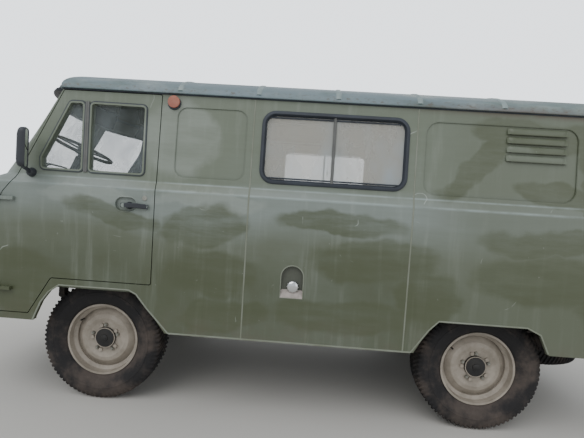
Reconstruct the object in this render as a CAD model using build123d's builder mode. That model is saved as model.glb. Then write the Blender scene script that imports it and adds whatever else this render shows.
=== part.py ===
from build123d import *
import os
from math import cos, radians, sin

os.makedirs("parts", exist_ok=True)

# A forward-control four-wheel-drive military ambulance van with a steel body on a ladder frame.
# Lengths are in millimetres: x forward, y to the left, z up from the ground.
overall_length = 4360
overall_height = 2064
wheelbase = 2300
rear_overhang = 1075
track = 1442
tail_end = -overall_length / 2
nose_end = overall_length / 2
rear_axle_x = tail_end + rear_overhang
front_axle_x = rear_axle_x + wheelbase
sides = (("left", 1), ("right", -1))

# Clearances
door_gap = 5
seat_gap = 0.3
pin_gap = 0.05

# Wheels
tyre_radius = 368
tyre_width = 224
rim_half_width = 82
bead_radius = 218
wheel_z = tyre_radius

# Body heights
sill_z = 487
front_sill_z = 507
tail_sill_z = 530
bulge_z = 860
belt_z = 1312
shoulder_z = 1360
eaves_z = 1866

# Body wall
wall = 40
glass_depth = 14
glass_thickness = 6
bead_height = 6
emboss_depth = 6
nose_bow = 60
tail_corner = 90

# The body's level sections from the sill to the eaves.
# Columns: height, half width, nose ahead of the front axle, front corner radius, tail ahead of the tail end
body_sections = (
    (sill_z, 958, 855, 250, 62),
    (bulge_z, 965, 925, 262, 60),
    (belt_z, 970, 835, 270, 60),
    (shoulder_z, 953, 792, 256, 72),
    (eaves_z, 925, 548, 218, 98),
)
belt_half = body_sections[2][1]
eaves_half = body_sections[-1][1]
eaves_nose_x = front_axle_x + body_sections[-1][2]
eaves_corner = body_sections[-1][3]
eaves_tail_x = tail_end + body_sections[-1][4]
body_reach = 1200

# Seams between the side panels, from the front to the back
door_post_x = front_axle_x - 346
bay_seam_x = front_axle_x - 883
rear_seam_x = front_axle_x - 1809
nose_seam_x = front_axle_x + 590
portal_x = tail_end + 195
nose_back_x = front_axle_x + 200
nose_sill_x = front_axle_x + 540
tail_opening_half = 645


def level_outline(z, half_width, nose_x, corner, back_x, back_round):
    with BuildSketch(Plane.XY.offset(z)) as outline:
        with BuildLine():
            Line((back_x, half_width), (back_x, -half_width))
            Line((back_x, -half_width), (nose_x - nose_bow, -half_width))
            ThreePointArc((nose_x - nose_bow, -half_width), (nose_x, 0), (nose_x - nose_bow, half_width))
            Line((nose_x - nose_bow, half_width), (back_x, half_width))
        make_face()
        fillet(outline.vertices().sort_by(Axis.X)[-2:], corner)
        if back_round:
            fillet(outline.vertices().sort_by(Axis.X)[:2], back_round)
    return outline.sketch


def nose_solid(inset):
    outlines = [
        level_outline(z, half - inset, front_axle_x + nose - inset, corner - inset, nose_back_x, 0)
        for z, half, nose, corner, tail in body_sections
    ]
    with BuildPart() as solid:
        loft(outlines, ruled=True)
    return solid.part


def tail_solid(inset):
    outlines = []
    for z, half, nose, corner, tail in body_sections:
        back_x = tail_end + tail + inset
        with BuildSketch(Plane.XY.offset(z)) as outline:
            with Locations(((back_x + portal_x) / 2, 0)):
                Rectangle(portal_x - back_x, (half - inset) * 2)
            fillet(outline.vertices().sort_by(Axis.X)[:2], tail_corner - inset)
        outlines.append(outline.sketch)
    with BuildPart() as solid:
        loft(outlines, ruled=True)
    return solid.part


def flat_skin(outer_inset, inner_inset):
    # The left side's flat wall, between two depths
    outer = [(half - outer_inset, z) for z, half, nose, corner, tail in body_sections]
    inner = [(half - inner_inset, z) for z, half, nose, corner, tail in body_sections]
    with BuildPart() as plate:
        with BuildSketch(Plane.YZ.offset(portal_x)) as section:
            with BuildLine():
                Polyline(*outer, *reversed(inner), close=True)
            make_face()
        extrude(amount=nose_end - portal_x)
    return plate.part


def tail_skin(outer_inset, inner_inset):
    # The left half of the flat tail wall, between two depths
    outer = [(tail_end + tail + outer_inset, z) for z, half, nose, corner, tail in body_sections]
    inner = [(tail_end + tail + inner_inset, z) for z, half, nose, corner, tail in body_sections]
    with BuildPart() as plate:
        with BuildSketch(Plane.XZ) as section:
            with BuildLine():
                Polyline(*outer, *reversed(inner), close=True)
            make_face()
        extrude(section.sketch, amount=tail_opening_half, dir=(0, 1, 0))
    return plate.part


def side_region(corners, rounding=0):
    with BuildSketch(Plane.XZ) as region:
        with BuildLine():
            Polyline(*corners, close=True)
        make_face()
        if rounding:
            fillet(region.vertices(), rounding)
    return region.sketch


def end_region(corners, rounding=0):
    with BuildSketch(Plane.YZ) as region:
        with BuildLine():
            Polyline(*corners, close=True)
        make_face()
        if rounding:
            fillet(region.vertices(), rounding)
    return region.sketch


def grown(region, amount):
    return offset(region, amount=amount, mode=Mode.PRIVATE)


def rectangle_corners(low_u, high_u, low_v, high_v):
    return ((low_u, low_v), (high_u, low_v), (high_u, high_v), (low_u, high_v))


def from_axle(axle_x, corners):
    return [(axle_x + x, z) for x, z in corners]


def nose_skin(outer_inset, inner_inset):
    with BuildPart() as shell:
        add(nose_solid(outer_inset))
        add(nose_solid(inner_inset), mode=Mode.SUBTRACT)
    return shell.part


# Skins of the body: the whole wall, the glass, the raised bead and the shallow pressings
glass_depths = (glass_depth, glass_depth + glass_thickness)
bead_depths = (-bead_height, 0)
flat_wall = flat_skin(0, wall)
flat_glass = flat_skin(*glass_depths)
flat_bead = flat_skin(*bead_depths)
flat_pressing = flat_skin(0, emboss_depth)
nose_wall = nose_skin(0, wall)

# Openings in the side, as heights over the distance from the front or rear axle
cab_opening = side_region(
    from_axle(
        front_axle_x,
        ((-346, 762), (-346, eaves_z), (236, eaves_z), (486, 1338), (554, 1255), (590, 1180), (590, 545),
         (378, 545), (248, 762)),
    ),
    14,
)
front_arch = side_region(
    from_axle(
        front_axle_x,
        ((356, sill_z - 40), (350, 519), (308, 619), (261, 684), (200, 728), (-216, 728), (-262, 706),
         (-327, 628), (-470, sill_z - 40)),
    )
)
rear_arch = side_region(
    from_axle(
        rear_axle_x,
        ((452, sill_z - 40), (354, 625), (300, 680), (-190, 680), (-268, 644), (-318, 540), (-330, sill_z - 40)),
    )
)
side_opening = side_region(rectangle_corners(rear_seam_x + 20, bay_seam_x - 20, 560, eaves_z), 14)
tail_opening = end_region(rectangle_corners(-tail_opening_half, tail_opening_half, 640, 1812), 60)
# The nose's rounded corners begin ahead of this region's back edge
corner_region = side_region(
    (
        (front_axle_x + 450, sill_z - 1),
        (nose_end, sill_z - 1),
        (nose_end, eaves_z + 1),
        (front_axle_x + 254, eaves_z + 1),
        (front_axle_x + 450, shoulder_z),
    )
)

# Windows
cab_pane_corners = {
    "rear": from_axle(front_axle_x, ((-272, 1388), (-262, 1800), (79, 1803), (66, 1388))),
    "front": from_axle(front_axle_x, ((88, 1388), (101, 1803), (197, 1803), (352, 1466), (346, 1390))),
}
cab_panes = [side_region(corners, 30) for corners in cab_pane_corners.values()]
bay_window = side_region(rectangle_corners(front_axle_x - 1764, front_axle_x - 933, 1394, 1805), 75)
front_blank = side_region(rectangle_corners(front_axle_x - 847, front_axle_x - 437, 1397, 1803), 60)
rear_blank = side_region(rectangle_corners(front_axle_x - 2696, front_axle_x - 1853, 1385, 1800), 72)
seal_lap = 15
windscreen_corners = ((28, 1400), (800, 1400), (770, 1640), (700, 1806), (28, 1806))
tail_window_y = (150, 520)
tail_window_z = (1400, 1745)


def panel_from_wall(region):
    # Side pieces are made on the left, and those of the right side are mirrored after that
    add(flat_wall)
    extrude(region, amount=body_reach, dir=(0, 1, 0), mode=Mode.INTERSECT)


def cut_side(region):
    extrude(region, amount=body_reach, dir=(0, 1, 0), mode=Mode.SUBTRACT)


def to_right_side():
    mirror(about=Plane.XZ, mode=Mode.REPLACE)


def side_piece(shell, region):
    with BuildPart() as piece:
        add(shell)
        extrude(region, amount=body_reach, dir=(0, 1, 0), mode=Mode.INTERSECT)
    return piece.part


def side_ring(shell, outer, inner):
    with BuildPart() as ring:
        add(shell)
        extrude(outer, amount=body_reach, dir=(0, 1, 0), mode=Mode.INTERSECT)
        extrude(inner, amount=body_reach, dir=(0, 1, 0), mode=Mode.SUBTRACT)
    return ring.part


# Filler recess with an arched top, and the cap on its floor
filler_x = front_axle_x - 1158
filler_half = 65
filler_low_z = 747
filler_high_z = 935
filler_depth = 28
cap_radius = 36
cap_z = 812


def filler_recess():
    with BuildPart() as recess:
        add(flat_skin(-1, filler_depth))
        with BuildSketch(Plane.XZ) as arch:
            with Locations((filler_x, (filler_low_z + filler_high_z - filler_half) / 2)):
                Rectangle(filler_half * 2, filler_high_z - filler_half - filler_low_z)
            with Locations((filler_x, filler_high_z - filler_half)):
                Circle(filler_half)
        extrude(arch.sketch, amount=body_reach, dir=(0, 1, 0), mode=Mode.INTERSECT)
    return recess.part


# Louvres in the rear bay
louvre_x = (front_axle_x - 2632, front_axle_x - 2302)
louvre_z = (1601, 1651, 1701, 1751)
louvre_height = 40
louvre_bulge = 14


def skin_y(z):
    for low, high in zip(body_sections, body_sections[1:]):
        if z <= high[0]:
            break
    return low[1] + (high[1] - low[1]) * (z - low[0]) / (high[0] - low[0])


def louvre_row():
    with BuildPart() as louvres:
        for z in louvre_z:
            with BuildSketch(Plane.YZ.offset(louvre_x[0])) as section:
                with BuildLine():
                    Polyline(
                        (skin_y(z) - emboss_depth - 4, z),
                        (skin_y(z) - emboss_depth + louvre_bulge, z),
                        (skin_y(z + louvre_height) - emboss_depth - 2, z + louvre_height),
                        close=True,
                    )
                make_face()
            extrude(section.sketch, amount=louvre_x[1] - louvre_x[0])
    return louvres.part


# Hinges of the doors. Each has a body leaf with two knuckles and the pin, and a door leaf between them
hinge_radius = 12
hinge_pin_radius = 6
knuckle_length = 20
knuckle_gap = 1
leaf_length = 70
leaf_half = 5
pad_depth = 36
body_pad_start = 14
door_pad_start = 50


def leaf_rectangles(axis_x, axis_y, along, inward, pad_start, length):
    # along is the unit step from the axis to the leaf's far end, inward the one into the body
    for start, depth in ((0, leaf_half), (pad_start, pad_depth)):
        middle = (start + length) / 2
        inset = (depth - leaf_half) / 2
        centre = (
            axis_x + along[0] * middle + inward[0] * inset,
            axis_y + along[1] * middle + inward[1] * inset,
        )
        with Locations(centre):
            Rectangle(
                abs(along[0]) * (length - start) + abs(inward[0]) * (depth + leaf_half),
                abs(along[1]) * (length - start) + abs(inward[1]) * (depth + leaf_half),
            )


def body_leaf(axis_x, axis_y, z, along, inward):
    reach = knuckle_length * 1.5 + knuckle_gap
    with BuildPart() as leaf:
        with BuildSketch(Plane.XY.offset(z - reach)) as pin:
            with Locations((axis_x, axis_y)):
                Circle(hinge_pin_radius)
        extrude(amount=reach * 2)
        for low in (z - reach, z + reach - knuckle_length):
            with BuildSketch(Plane.XY.offset(low)) as knuckle:
                with Locations((axis_x, axis_y)):
                    Circle(hinge_radius)
                leaf_rectangles(axis_x, axis_y, along, inward, body_pad_start, leaf_length)
            extrude(amount=knuckle_length)
    return leaf.part


def door_leaf(axis_x, axis_y, z, along, inward, length):
    with BuildPart() as leaf:
        with BuildSketch(Plane.XY.offset(z - knuckle_length / 2)) as knuckle:
            with Locations((axis_x, axis_y)):
                Circle(hinge_radius)
            leaf_rectangles(axis_x, axis_y, along, inward, door_pad_start, length)
            with Locations((axis_x, axis_y)):
                Circle(hinge_pin_radius + pin_gap, mode=Mode.SUBTRACT)
        extrude(amount=knuckle_length)
    return leaf.part


cab_hinge_x = nose_seam_x - door_gap / 2
cab_hinge_y = 983
cab_hinge_z = (690, 1215)
side_hinge_x = bay_seam_x - 20 - door_gap / 2
side_hinge_y = 985
side_hinge_z = (720, 1230)
tail_hinge_y = 645 - door_gap / 2
tail_hinge_x = tail_end + 44
tail_hinge_z = (760, 1240)
strap_length = 110

# Fixed side panels
front_bay_region = side_region(
    (
        (bay_seam_x, sill_z - 1),
        (nose_sill_x, sill_z - 1),
        (nose_sill_x, 640),
        (front_axle_x + 200, 860),
        (door_post_x + 80, 860),
        (door_post_x + 80, eaves_z + 1),
        (bay_seam_x, eaves_z + 1),
    )
)
front_bay_right_region = side_region(
    (
        (rear_seam_x, sill_z - 1),
        (nose_sill_x, sill_z - 1),
        (nose_sill_x, 640),
        (front_axle_x + 200, 860),
        (door_post_x + 80, 860),
        (door_post_x + 80, eaves_z + 1),
        (bay_seam_x - 40, eaves_z + 1),
        (bay_seam_x - 40, 620),
        (rear_seam_x, 620),
    )
)
rear_bay_region = side_region(rectangle_corners(portal_x, rear_seam_x, sill_z - 1, eaves_z + 1))
rear_bay_right_region = side_region(
    (
        (portal_x, sill_z - 1),
        (rear_seam_x, sill_z - 1),
        (rear_seam_x, 620),
        (rear_seam_x + 40, 620),
        (rear_seam_x + 40, eaves_z + 1),
        (portal_x, eaves_z + 1),
    )
)
tail_skirt = side_region(rectangle_corners(tail_end, rear_axle_x - 200, sill_z - 10, tail_sill_z))
nose_skirt = side_region(rectangle_corners(front_axle_x + 300, nose_end, sill_z - 10, front_sill_z))

with BuildPart() as left_front_panel:
    panel_from_wall(front_bay_region)
    cut_side(cab_opening)
    cut_side(front_arch)
    cut_side(nose_skirt)
    add(side_piece(flat_pressing, front_blank), mode=Mode.SUBTRACT)
left_front_panel.part.label = "left_front_panel"
export_step(left_front_panel.part, "parts/left_front_panel.step")

with BuildPart() as left_middle_panel:
    panel_from_wall(side_region(rectangle_corners(rear_seam_x, bay_seam_x, sill_z - 1, eaves_z + 1)))
    cut_side(grown(bay_window, -seal_lap))
    add(side_ring(flat_bead, bay_window, grown(bay_window, -seal_lap)))
    add(filler_recess(), mode=Mode.SUBTRACT)
    cut_side(rear_arch)
left_middle_panel.part.label = "left_middle_panel"
export_step(left_middle_panel.part, "parts/left_middle_panel.step")

with BuildPart() as left_rear_panel:
    panel_from_wall(rear_bay_region)
    cut_side(rear_arch)
    cut_side(tail_skirt)
    add(side_piece(flat_pressing, rear_blank), mode=Mode.SUBTRACT)
    add(louvre_row())
left_rear_panel.part.label = "left_rear_panel"
export_step(left_rear_panel.part, "parts/left_rear_panel.step")

with BuildPart() as right_front_panel:
    panel_from_wall(front_bay_right_region)
    cut_side(cab_opening)
    cut_side(side_opening)
    cut_side(front_arch)
    cut_side(rear_arch)
    cut_side(nose_skirt)
    add(side_piece(flat_pressing, front_blank), mode=Mode.SUBTRACT)
    for z in side_hinge_z:
        add(body_leaf(side_hinge_x, side_hinge_y, z, (1, 0), (0, -1)))
    to_right_side()
right_front_panel.part.label = "right_front_panel"
export_step(right_front_panel.part, "parts/right_front_panel.step")

with BuildPart() as right_rear_panel:
    panel_from_wall(rear_bay_right_region)
    cut_side(side_opening)
    cut_side(rear_arch)
    cut_side(tail_skirt)
    add(side_piece(flat_pressing, rear_blank), mode=Mode.SUBTRACT)
    add(louvre_row())
    to_right_side()
right_rear_panel.part.label = "right_rear_panel"
export_step(right_rear_panel.part, "parts/right_rear_panel.step")

# Nose, with the windscreen's openings, the lamp holes and the grille's slots
lamp_y = 600
lamp_z = 880
lamp_radius = 92
lamp_rim_radius = 104
lamp_lens_radius = 98
lens_rise = 18
lens_sphere = (lamp_lens_radius**2 + lens_rise**2) / (lens_rise * 2)
grille_slots = 7
grille_pitch = 34
grille_slot_width = 16
grille_slot_height = 150
windscreen = end_region(windscreen_corners, 45)
windscreen_hole = grown(windscreen, -seal_lap)
nose_region = side_region(
    (
        (nose_sill_x, sill_z - 1),
        (nose_end, sill_z - 1),
        (nose_end, eaves_z + 1),
        (nose_back_x + 1, eaves_z + 1),
        (nose_back_x + 1, 1310),
        (nose_sill_x - 20, 1100),
        (nose_sill_x, 1000),
    )
)


def nose_piece(shell, outer):
    with BuildPart() as piece:
        add(shell)
        extrude(outer, amount=nose_end, dir=(1, 0, 0), mode=Mode.INTERSECT)
    return piece.part


with BuildPart() as front_panel:
    add(side_piece(nose_wall, nose_region))
    cut_side(cab_opening)
    cut_side(nose_skirt)
    add(nose_piece(nose_skin(*bead_depths), windscreen))
    extrude(windscreen_hole, amount=nose_end, dir=(1, 0, 0), mode=Mode.SUBTRACT)
    with BuildSketch(Plane.YZ) as lamp_hole:
        with Locations((lamp_y, lamp_z)):
            Circle(lamp_radius)
    extrude(amount=nose_end, mode=Mode.SUBTRACT)
    with BuildSketch(Plane.YZ) as slots:
        with Locations((grille_pitch * grille_slots / 2, lamp_z)):
            with GridLocations(grille_pitch, 1, grille_slots, 1):
                SlotOverall(grille_slot_height, grille_slot_width, rotation=90)
    extrude(amount=nose_end, mode=Mode.SUBTRACT)
    for z in cab_hinge_z:
        add(body_leaf(cab_hinge_x, cab_hinge_y, z, (1, 0), (0, -1)))
    mirror(about=Plane.XZ)
front_panel.part.label = "front_panel"
export_step(front_panel.part, "parts/front_panel.step")

# Tail frame round the two rear doors
tail_region = side_region(rectangle_corners(tail_end, portal_x, tail_sill_z, eaves_z + 1))

with BuildPart() as rear_portal:
    add(tail_solid(0))
    add(tail_solid(wall), mode=Mode.SUBTRACT)
    extrude(tail_region, amount=body_reach, dir=(0, 1, 0), mode=Mode.INTERSECT)
    extrude(tail_opening, amount=-tail_end, dir=(-1, 0, 0), mode=Mode.SUBTRACT)
    for z in tail_hinge_z:
        add(body_leaf(tail_hinge_x, tail_hinge_y, z, (0, 1), (1, 0)))
    mirror(about=Plane.XZ)
rear_portal.part.label = "rear_portal"
export_step(rear_portal.part, "parts/rear_portal.step")

# Roof with its gutter, visor and cross ribs
shoulder_radius = 110
shoulder_turn = 80
shoulder_start_z = eaves_z + 22
gutter_z = 1873
gutter_thickness = 12
gutter_reach = 18
visor_reach = 105
rib_x = (front_axle_x - 450, front_axle_x - 902, front_axle_x - 1354, front_axle_x - 1810, front_axle_x - 2276)
rib_width = 40
rib_height = 7
rib_half = 790


def roof_solid(inset):
    half = eaves_half - inset
    front = eaves_nose_x - inset
    tail = eaves_tail_x + inset
    top = overall_height - rib_height - inset
    start = shoulder_start_z - inset / 2
    with BuildPart() as solid:
        outline = level_outline(eaves_z, half, front, eaves_corner - inset, tail, tail_corner - inset)
        extrude(outline, amount=overall_height - eaves_z)
        with BuildSketch(Plane.YZ) as crown:
            with BuildLine():
                Line((-half, eaves_z - 1), (half, eaves_z - 1))
                Line((half, eaves_z - 1), (half, start))
                right = JernArc((half, start), (0, 1), shoulder_radius, shoulder_turn)
                left = JernArc((-half, start), (0, 1), shoulder_radius, -shoulder_turn)
                ThreePointArc(right @ 1, (0, top), left @ 1)
                Line((-half, start), (-half, eaves_z - 1))
            make_face()
        extrude(amount=overall_length, both=True, mode=Mode.INTERSECT)
        with BuildSketch(Plane.XZ) as profile:
            with BuildLine():
                Line((tail - 6, eaves_z - 1), (front + 6, eaves_z - 1))
                Line((front + 6, eaves_z - 1), (front + 6, eaves_z + 34))
                ThreePointArc((front + 6, eaves_z + 34), (front - 130, top - 62), (front - 420, top + 4))
                Line((front - 420, top + 4), (tail + 330, top + 4))
                ThreePointArc((tail + 330, top + 4), (tail + 75, top - 56), (tail - 6, eaves_z + 52))
                Line((tail - 6, eaves_z + 52), (tail - 6, eaves_z - 1))
            make_face()
        extrude(amount=body_reach, both=True, mode=Mode.INTERSECT)
    return solid.part


with BuildPart() as ribs:
    add(roof_solid(-rib_height))
    with BuildSketch(Plane.XY.offset(eaves_z)) as rib_strips:
        with Locations(*[(x, 0) for x in rib_x]):
            Rectangle(rib_width, rib_half * 2)
    extrude(amount=overall_height, mode=Mode.INTERSECT)

with BuildPart() as roof:
    add(roof_solid(0))
    add(ribs.part)
    gutter = level_outline(
        gutter_z,
        eaves_half + gutter_reach,
        eaves_nose_x + visor_reach,
        eaves_corner + gutter_reach,
        eaves_tail_x - gutter_reach,
        tail_corner + gutter_reach,
    )
    extrude(gutter, amount=gutter_thickness)
    add(roof_solid(wall), mode=Mode.SUBTRACT)
roof.part.label = "roof"
export_step(roof.part, "parts/roof.step")

# Glass fixed in the body
windscreen_pane = nose_piece(nose_skin(*glass_depths), grown(windscreen_hole, -seat_gap))

with BuildPart() as window_glass:
    add(windscreen_pane)
    mirror(about=Plane.XZ)
    add(side_piece(flat_glass, grown(bay_window, -seal_lap - seat_gap)))
window_glass.part.label = "window_glass"
export_step(window_glass.part, "parts/window_glass.step")

# Cab doors, their glass and mirrors
handle_x = (front_axle_x - 240, front_axle_x - 115)
handle_z = 1221
handle_recess_height = 82
handle_depth = 16
lever_x = (front_axle_x - 312, front_axle_x - 157)
lever_z = handle_z - 5
lever_y = 976
lever_thickness = 14
lever_post_radius = 12
mirror_x = front_axle_x + 378
mirror_thickness = 28
mirror_y = (988, 1122)
mirror_z = (1392, 1612)
mirror_base_x = front_axle_x + 390
mirror_base_z = 1371
mirror_base_radius = 20
mirror_arm_radius = 9
mirror_base_y = skin_y(mirror_base_z - mirror_base_radius) + seat_gap
mirror_base_depth = 12


def handle_recess():
    with BuildPart() as recess:
        add(flat_skin(-1, handle_depth))
        with BuildSketch(Plane.XZ) as oval:
            with Locations(((handle_x[0] + handle_x[1]) / 2, handle_z)):
                SlotOverall(handle_x[1] - handle_x[0], handle_recess_height)
        extrude(oval.sketch, amount=body_reach, dir=(0, 1, 0), mode=Mode.INTERSECT)
    return recess.part


cab_handle_recess = handle_recess()

with BuildPart() as corner_block:
    add(side_piece(nose_wall, corner_region))
    extrude(grown(cab_opening, -door_gap), amount=body_reach, dir=(0, 1, 0), mode=Mode.INTERSECT)
cab_door_corner = corner_block.part

for name, side in sides:
    with BuildPart() as cab_door:
        panel_from_wall(grown(cab_opening, -door_gap))
        cut_side(corner_region)
        add(cab_door_corner)
        for pane in cab_panes:
            cut_side(grown(pane, -seal_lap))
            add(side_ring(flat_bead, pane, grown(pane, -seal_lap)))
        add(cab_handle_recess, mode=Mode.SUBTRACT)
        with BuildSketch(Plane.XZ.offset(-lever_y)) as lever_post:
            with Locations((handle_x[0] + 45, lever_z)):
                Circle(lever_post_radius)
        extrude(amount=lever_y - belt_half + handle_depth + 4)
        with BuildSketch(Plane.XZ.offset(-lever_y)) as lever:
            with Locations(((lever_x[0] + lever_x[1]) / 2, lever_z)):
                SlotOverall(lever_x[1] - lever_x[0], lever_post_radius * 2)
        extrude(amount=-lever_thickness)
        for z in cab_hinge_z:
            add(door_leaf(cab_hinge_x, cab_hinge_y, z, (-1, 0), (0, -1), strap_length))
        if side < 0:
            to_right_side()
    cab_door.part.label = f"cab_door_{name}"
    export_step(cab_door.part, f"parts/cab_door_{name}.step")

    with BuildPart() as cab_door_glass:
        for pane in cab_panes:
            add(side_piece(flat_glass, grown(pane, -seal_lap - seat_gap)))
        if side < 0:
            to_right_side()
    cab_door_glass.part.label = f"cab_door_glass_{name}"
    export_step(cab_door_glass.part, f"parts/cab_door_glass_{name}.step")

    with BuildPart() as mirror_arm:
        post_y = mirror_y[0] + 20
        with BuildSketch(Plane.YZ.offset(mirror_x - mirror_thickness / 2)) as head:
            with Locations(((mirror_y[0] + mirror_y[1]) / 2, (mirror_z[0] + mirror_z[1]) / 2)):
                RectangleRounded(mirror_y[1] - mirror_y[0], mirror_z[1] - mirror_z[0], 30)
        extrude(amount=mirror_thickness)
        with BuildSketch(Plane.XZ.offset(-mirror_base_y)) as base:
            with Locations((mirror_base_x, mirror_base_z)):
                Circle(mirror_base_radius)
        extrude(amount=-mirror_base_depth)
        with BuildSketch(Plane.XZ.offset(-mirror_base_y)) as arm:
            with Locations((mirror_x, mirror_base_z)):
                Circle(mirror_arm_radius)
        extrude(amount=mirror_base_y - post_y)
        with BuildSketch(Plane.XY.offset(mirror_base_z - mirror_arm_radius)) as post:
            with Locations((mirror_x, post_y)):
                Circle(mirror_arm_radius)
        extrude(amount=mirror_z[0] + 20 - mirror_base_z + mirror_arm_radius)
        if side < 0:
            to_right_side()
    mirror_arm.part.label = f"mirror_{name}"
    export_step(mirror_arm.part, f"parts/mirror_{name}.step")

# Side door on the right, with the same window as the left middle panel
with BuildPart() as side_door:
    panel_from_wall(grown(side_opening, -door_gap))
    cut_side(grown(bay_window, -seal_lap))
    add(side_ring(flat_bead, bay_window, grown(bay_window, -seal_lap)))
    for z in side_hinge_z:
        add(door_leaf(side_hinge_x, side_hinge_y, z, (-1, 0), (0, -1), strap_length))
    to_right_side()
side_door.part.label = "side_door"
export_step(side_door.part, "parts/side_door.step")

with BuildPart() as side_door_glass:
    add(side_piece(flat_glass, grown(bay_window, -seal_lap - seat_gap)))
    to_right_side()
side_door_glass.part.label = "side_door_glass"
export_step(side_door_glass.part, "parts/side_door_glass.step")

# Rear doors
tail_leaf_region = end_region(rectangle_corners(door_gap / 2, body_reach, tail_sill_z, eaves_z))
tail_window = end_region(rectangle_corners(*tail_window_y, *tail_window_z), 60)


def tail_piece(shell, outer):
    with BuildPart() as piece:
        add(shell)
        extrude(outer, amount=-tail_end, dir=(-1, 0, 0), mode=Mode.INTERSECT)
    return piece.part


for name, side in sides:
    with BuildPart() as rear_door:
        add(tail_piece(tail_skin(0, wall), grown(tail_opening, -door_gap)))
        extrude(tail_leaf_region, amount=-tail_end, dir=(-1, 0, 0), mode=Mode.INTERSECT)
        add(tail_piece(tail_skin(*bead_depths), tail_window))
        extrude(grown(tail_window, -seal_lap), amount=-tail_end, dir=(-1, 0, 0), mode=Mode.SUBTRACT)
        for z in tail_hinge_z:
            add(door_leaf(tail_hinge_x, tail_hinge_y, z, (0, -1), (1, 0), strap_length))
        if side < 0:
            to_right_side()
    rear_door.part.label = f"rear_door_{name}"
    export_step(rear_door.part, f"parts/rear_door_{name}.step")

    with BuildPart() as rear_door_glass:
        add(tail_piece(tail_skin(*glass_depths), grown(tail_window, -seal_lap - seat_gap)))
        if side < 0:
            to_right_side()
    rear_door_glass.part.label = f"rear_door_glass_{name}"
    export_step(rear_door_glass.part, f"parts/rear_door_glass_{name}.step")

# Chassis frame: two rails joined by cross members, with body mounts up to the floor
floor_z = 700
floor_thickness = 22
rail_y = 372
rail_width = 60
rail_height = 100
rail_top_z = 680
rail_x = (tail_end + 112, nose_end - 190)
cross_x = (rail_x[0] + 30, rear_axle_x - 520, rear_axle_x + 560, 60, front_axle_x - 560, front_axle_x + 560)
cross_width = 60
cross_height = 70
mount_half = 30

with BuildPart() as chassis_frame:
    with BuildSketch(Plane.XY.offset(rail_top_z - rail_height)) as rails:
        with Locations(((rail_x[0] + rail_x[1]) / 2, rail_y), ((rail_x[0] + rail_x[1]) / 2, -rail_y)):
            Rectangle(rail_x[1] - rail_x[0], rail_width)
    extrude(amount=rail_height)
    with BuildSketch(Plane.XY.offset(rail_top_z - (rail_height + cross_height) / 2)) as crosses:
        with Locations(*[(x, 0) for x in cross_x]):
            Rectangle(cross_width, rail_y * 2)
    extrude(amount=cross_height)
    with BuildSketch(Plane.XY.offset(rail_top_z)) as mounts:
        with Locations(*[(x, side * rail_y) for x in cross_x for name, side in sides]):
            Rectangle(mount_half * 2, rail_width)
    extrude(amount=floor_z - rail_top_z)
chassis_frame.part.label = "chassis_frame"
export_step(chassis_frame.part, "parts/chassis_frame.step")

# Bumpers
bumper_z = (448, 556)
bumper_depth = 56
bumper_half = 880
bumper_round = 40
bumper_wall = 5
bar_z = bumper_z[0] + 8
bar_height = 36
bar_width = 44
riser_length = 90
hook_x = nose_end - 72
hook_z = bumper_z[0] - 18
hook_radius = 30
hook_hole_radius = 14
hook_thickness = 20


def bumper_brackets(rail_end, bar_end, inward):
    bar_start = rail_end + inward * riser_length
    with BuildSketch(Plane.XY.offset(bar_z)) as bars:
        with Locations(*[((bar_start + bar_end) / 2, side * rail_y) for name, side in sides]):
            Rectangle(abs(bar_end - bar_start), bar_width)
    extrude(bars.sketch, amount=bar_height)
    with BuildSketch(Plane.XY.offset(bar_z)) as risers:
        with Locations(*[(rail_end + inward * riser_length / 2, side * rail_y) for name, side in sides]):
            Rectangle(riser_length, bar_width)
    extrude(risers.sketch, amount=rail_top_z - rail_height - bar_z)


with BuildPart() as front_bumper:
    with BuildSketch(Plane.XY.offset(bumper_z[0])) as channel:
        with Locations((nose_end - bumper_depth / 2, 0)):
            Rectangle(bumper_depth, bumper_half * 2)
        fillet(channel.vertices().sort_by(Axis.X)[-2:], bumper_round)
    extrude(amount=bumper_z[1] - bumper_z[0])
    with BuildSketch(Plane.XY.offset(bumper_z[0] + bumper_wall)) as hollow:
        with Locations((nose_end - bumper_depth / 2 - bumper_wall, 0)):
            Rectangle(bumper_depth, (bumper_half - bumper_wall) * 2)
        fillet(hollow.vertices().sort_by(Axis.X)[-2:], bumper_round - bumper_wall)
    extrude(amount=bumper_z[1] - bumper_z[0] - bumper_wall * 2, mode=Mode.SUBTRACT)
    bumper_brackets(rail_x[1], nose_end - bumper_depth / 2, -1)
    with BuildSketch(Plane.XZ.offset(rail_y - hook_thickness / 2)) as tow_eye:
        with Locations((hook_x, hook_z)):
            Circle(hook_radius)
        with Locations((hook_x, (hook_z + bar_z) / 2 + 3)):
            Rectangle(hook_radius * 2, bar_z - hook_z + 6)
        with Locations((hook_x, hook_z)):
            Circle(hook_hole_radius, mode=Mode.SUBTRACT)
    extrude(amount=hook_thickness)
    mirror(about=Plane.XZ)
front_bumper.part.label = "front_bumper"
export_step(front_bumper.part, "parts/front_bumper.step")

with BuildPart() as rear_bumper:
    for name, side in sides:
        with BuildSketch(Plane.XY.offset(bumper_z[0])) as corner_bar:
            with Locations((tail_end + bumper_depth / 2, side * 560)):
                Rectangle(bumper_depth, 420)
        extrude(amount=tail_sill_z - 6 - bumper_z[0])
    bumper_brackets(rail_x[0], tail_end + bumper_depth / 2, 1)
rear_bumper.part.label = "rear_bumper"
export_step(rear_bumper.part, "parts/rear_bumper.step")

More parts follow.
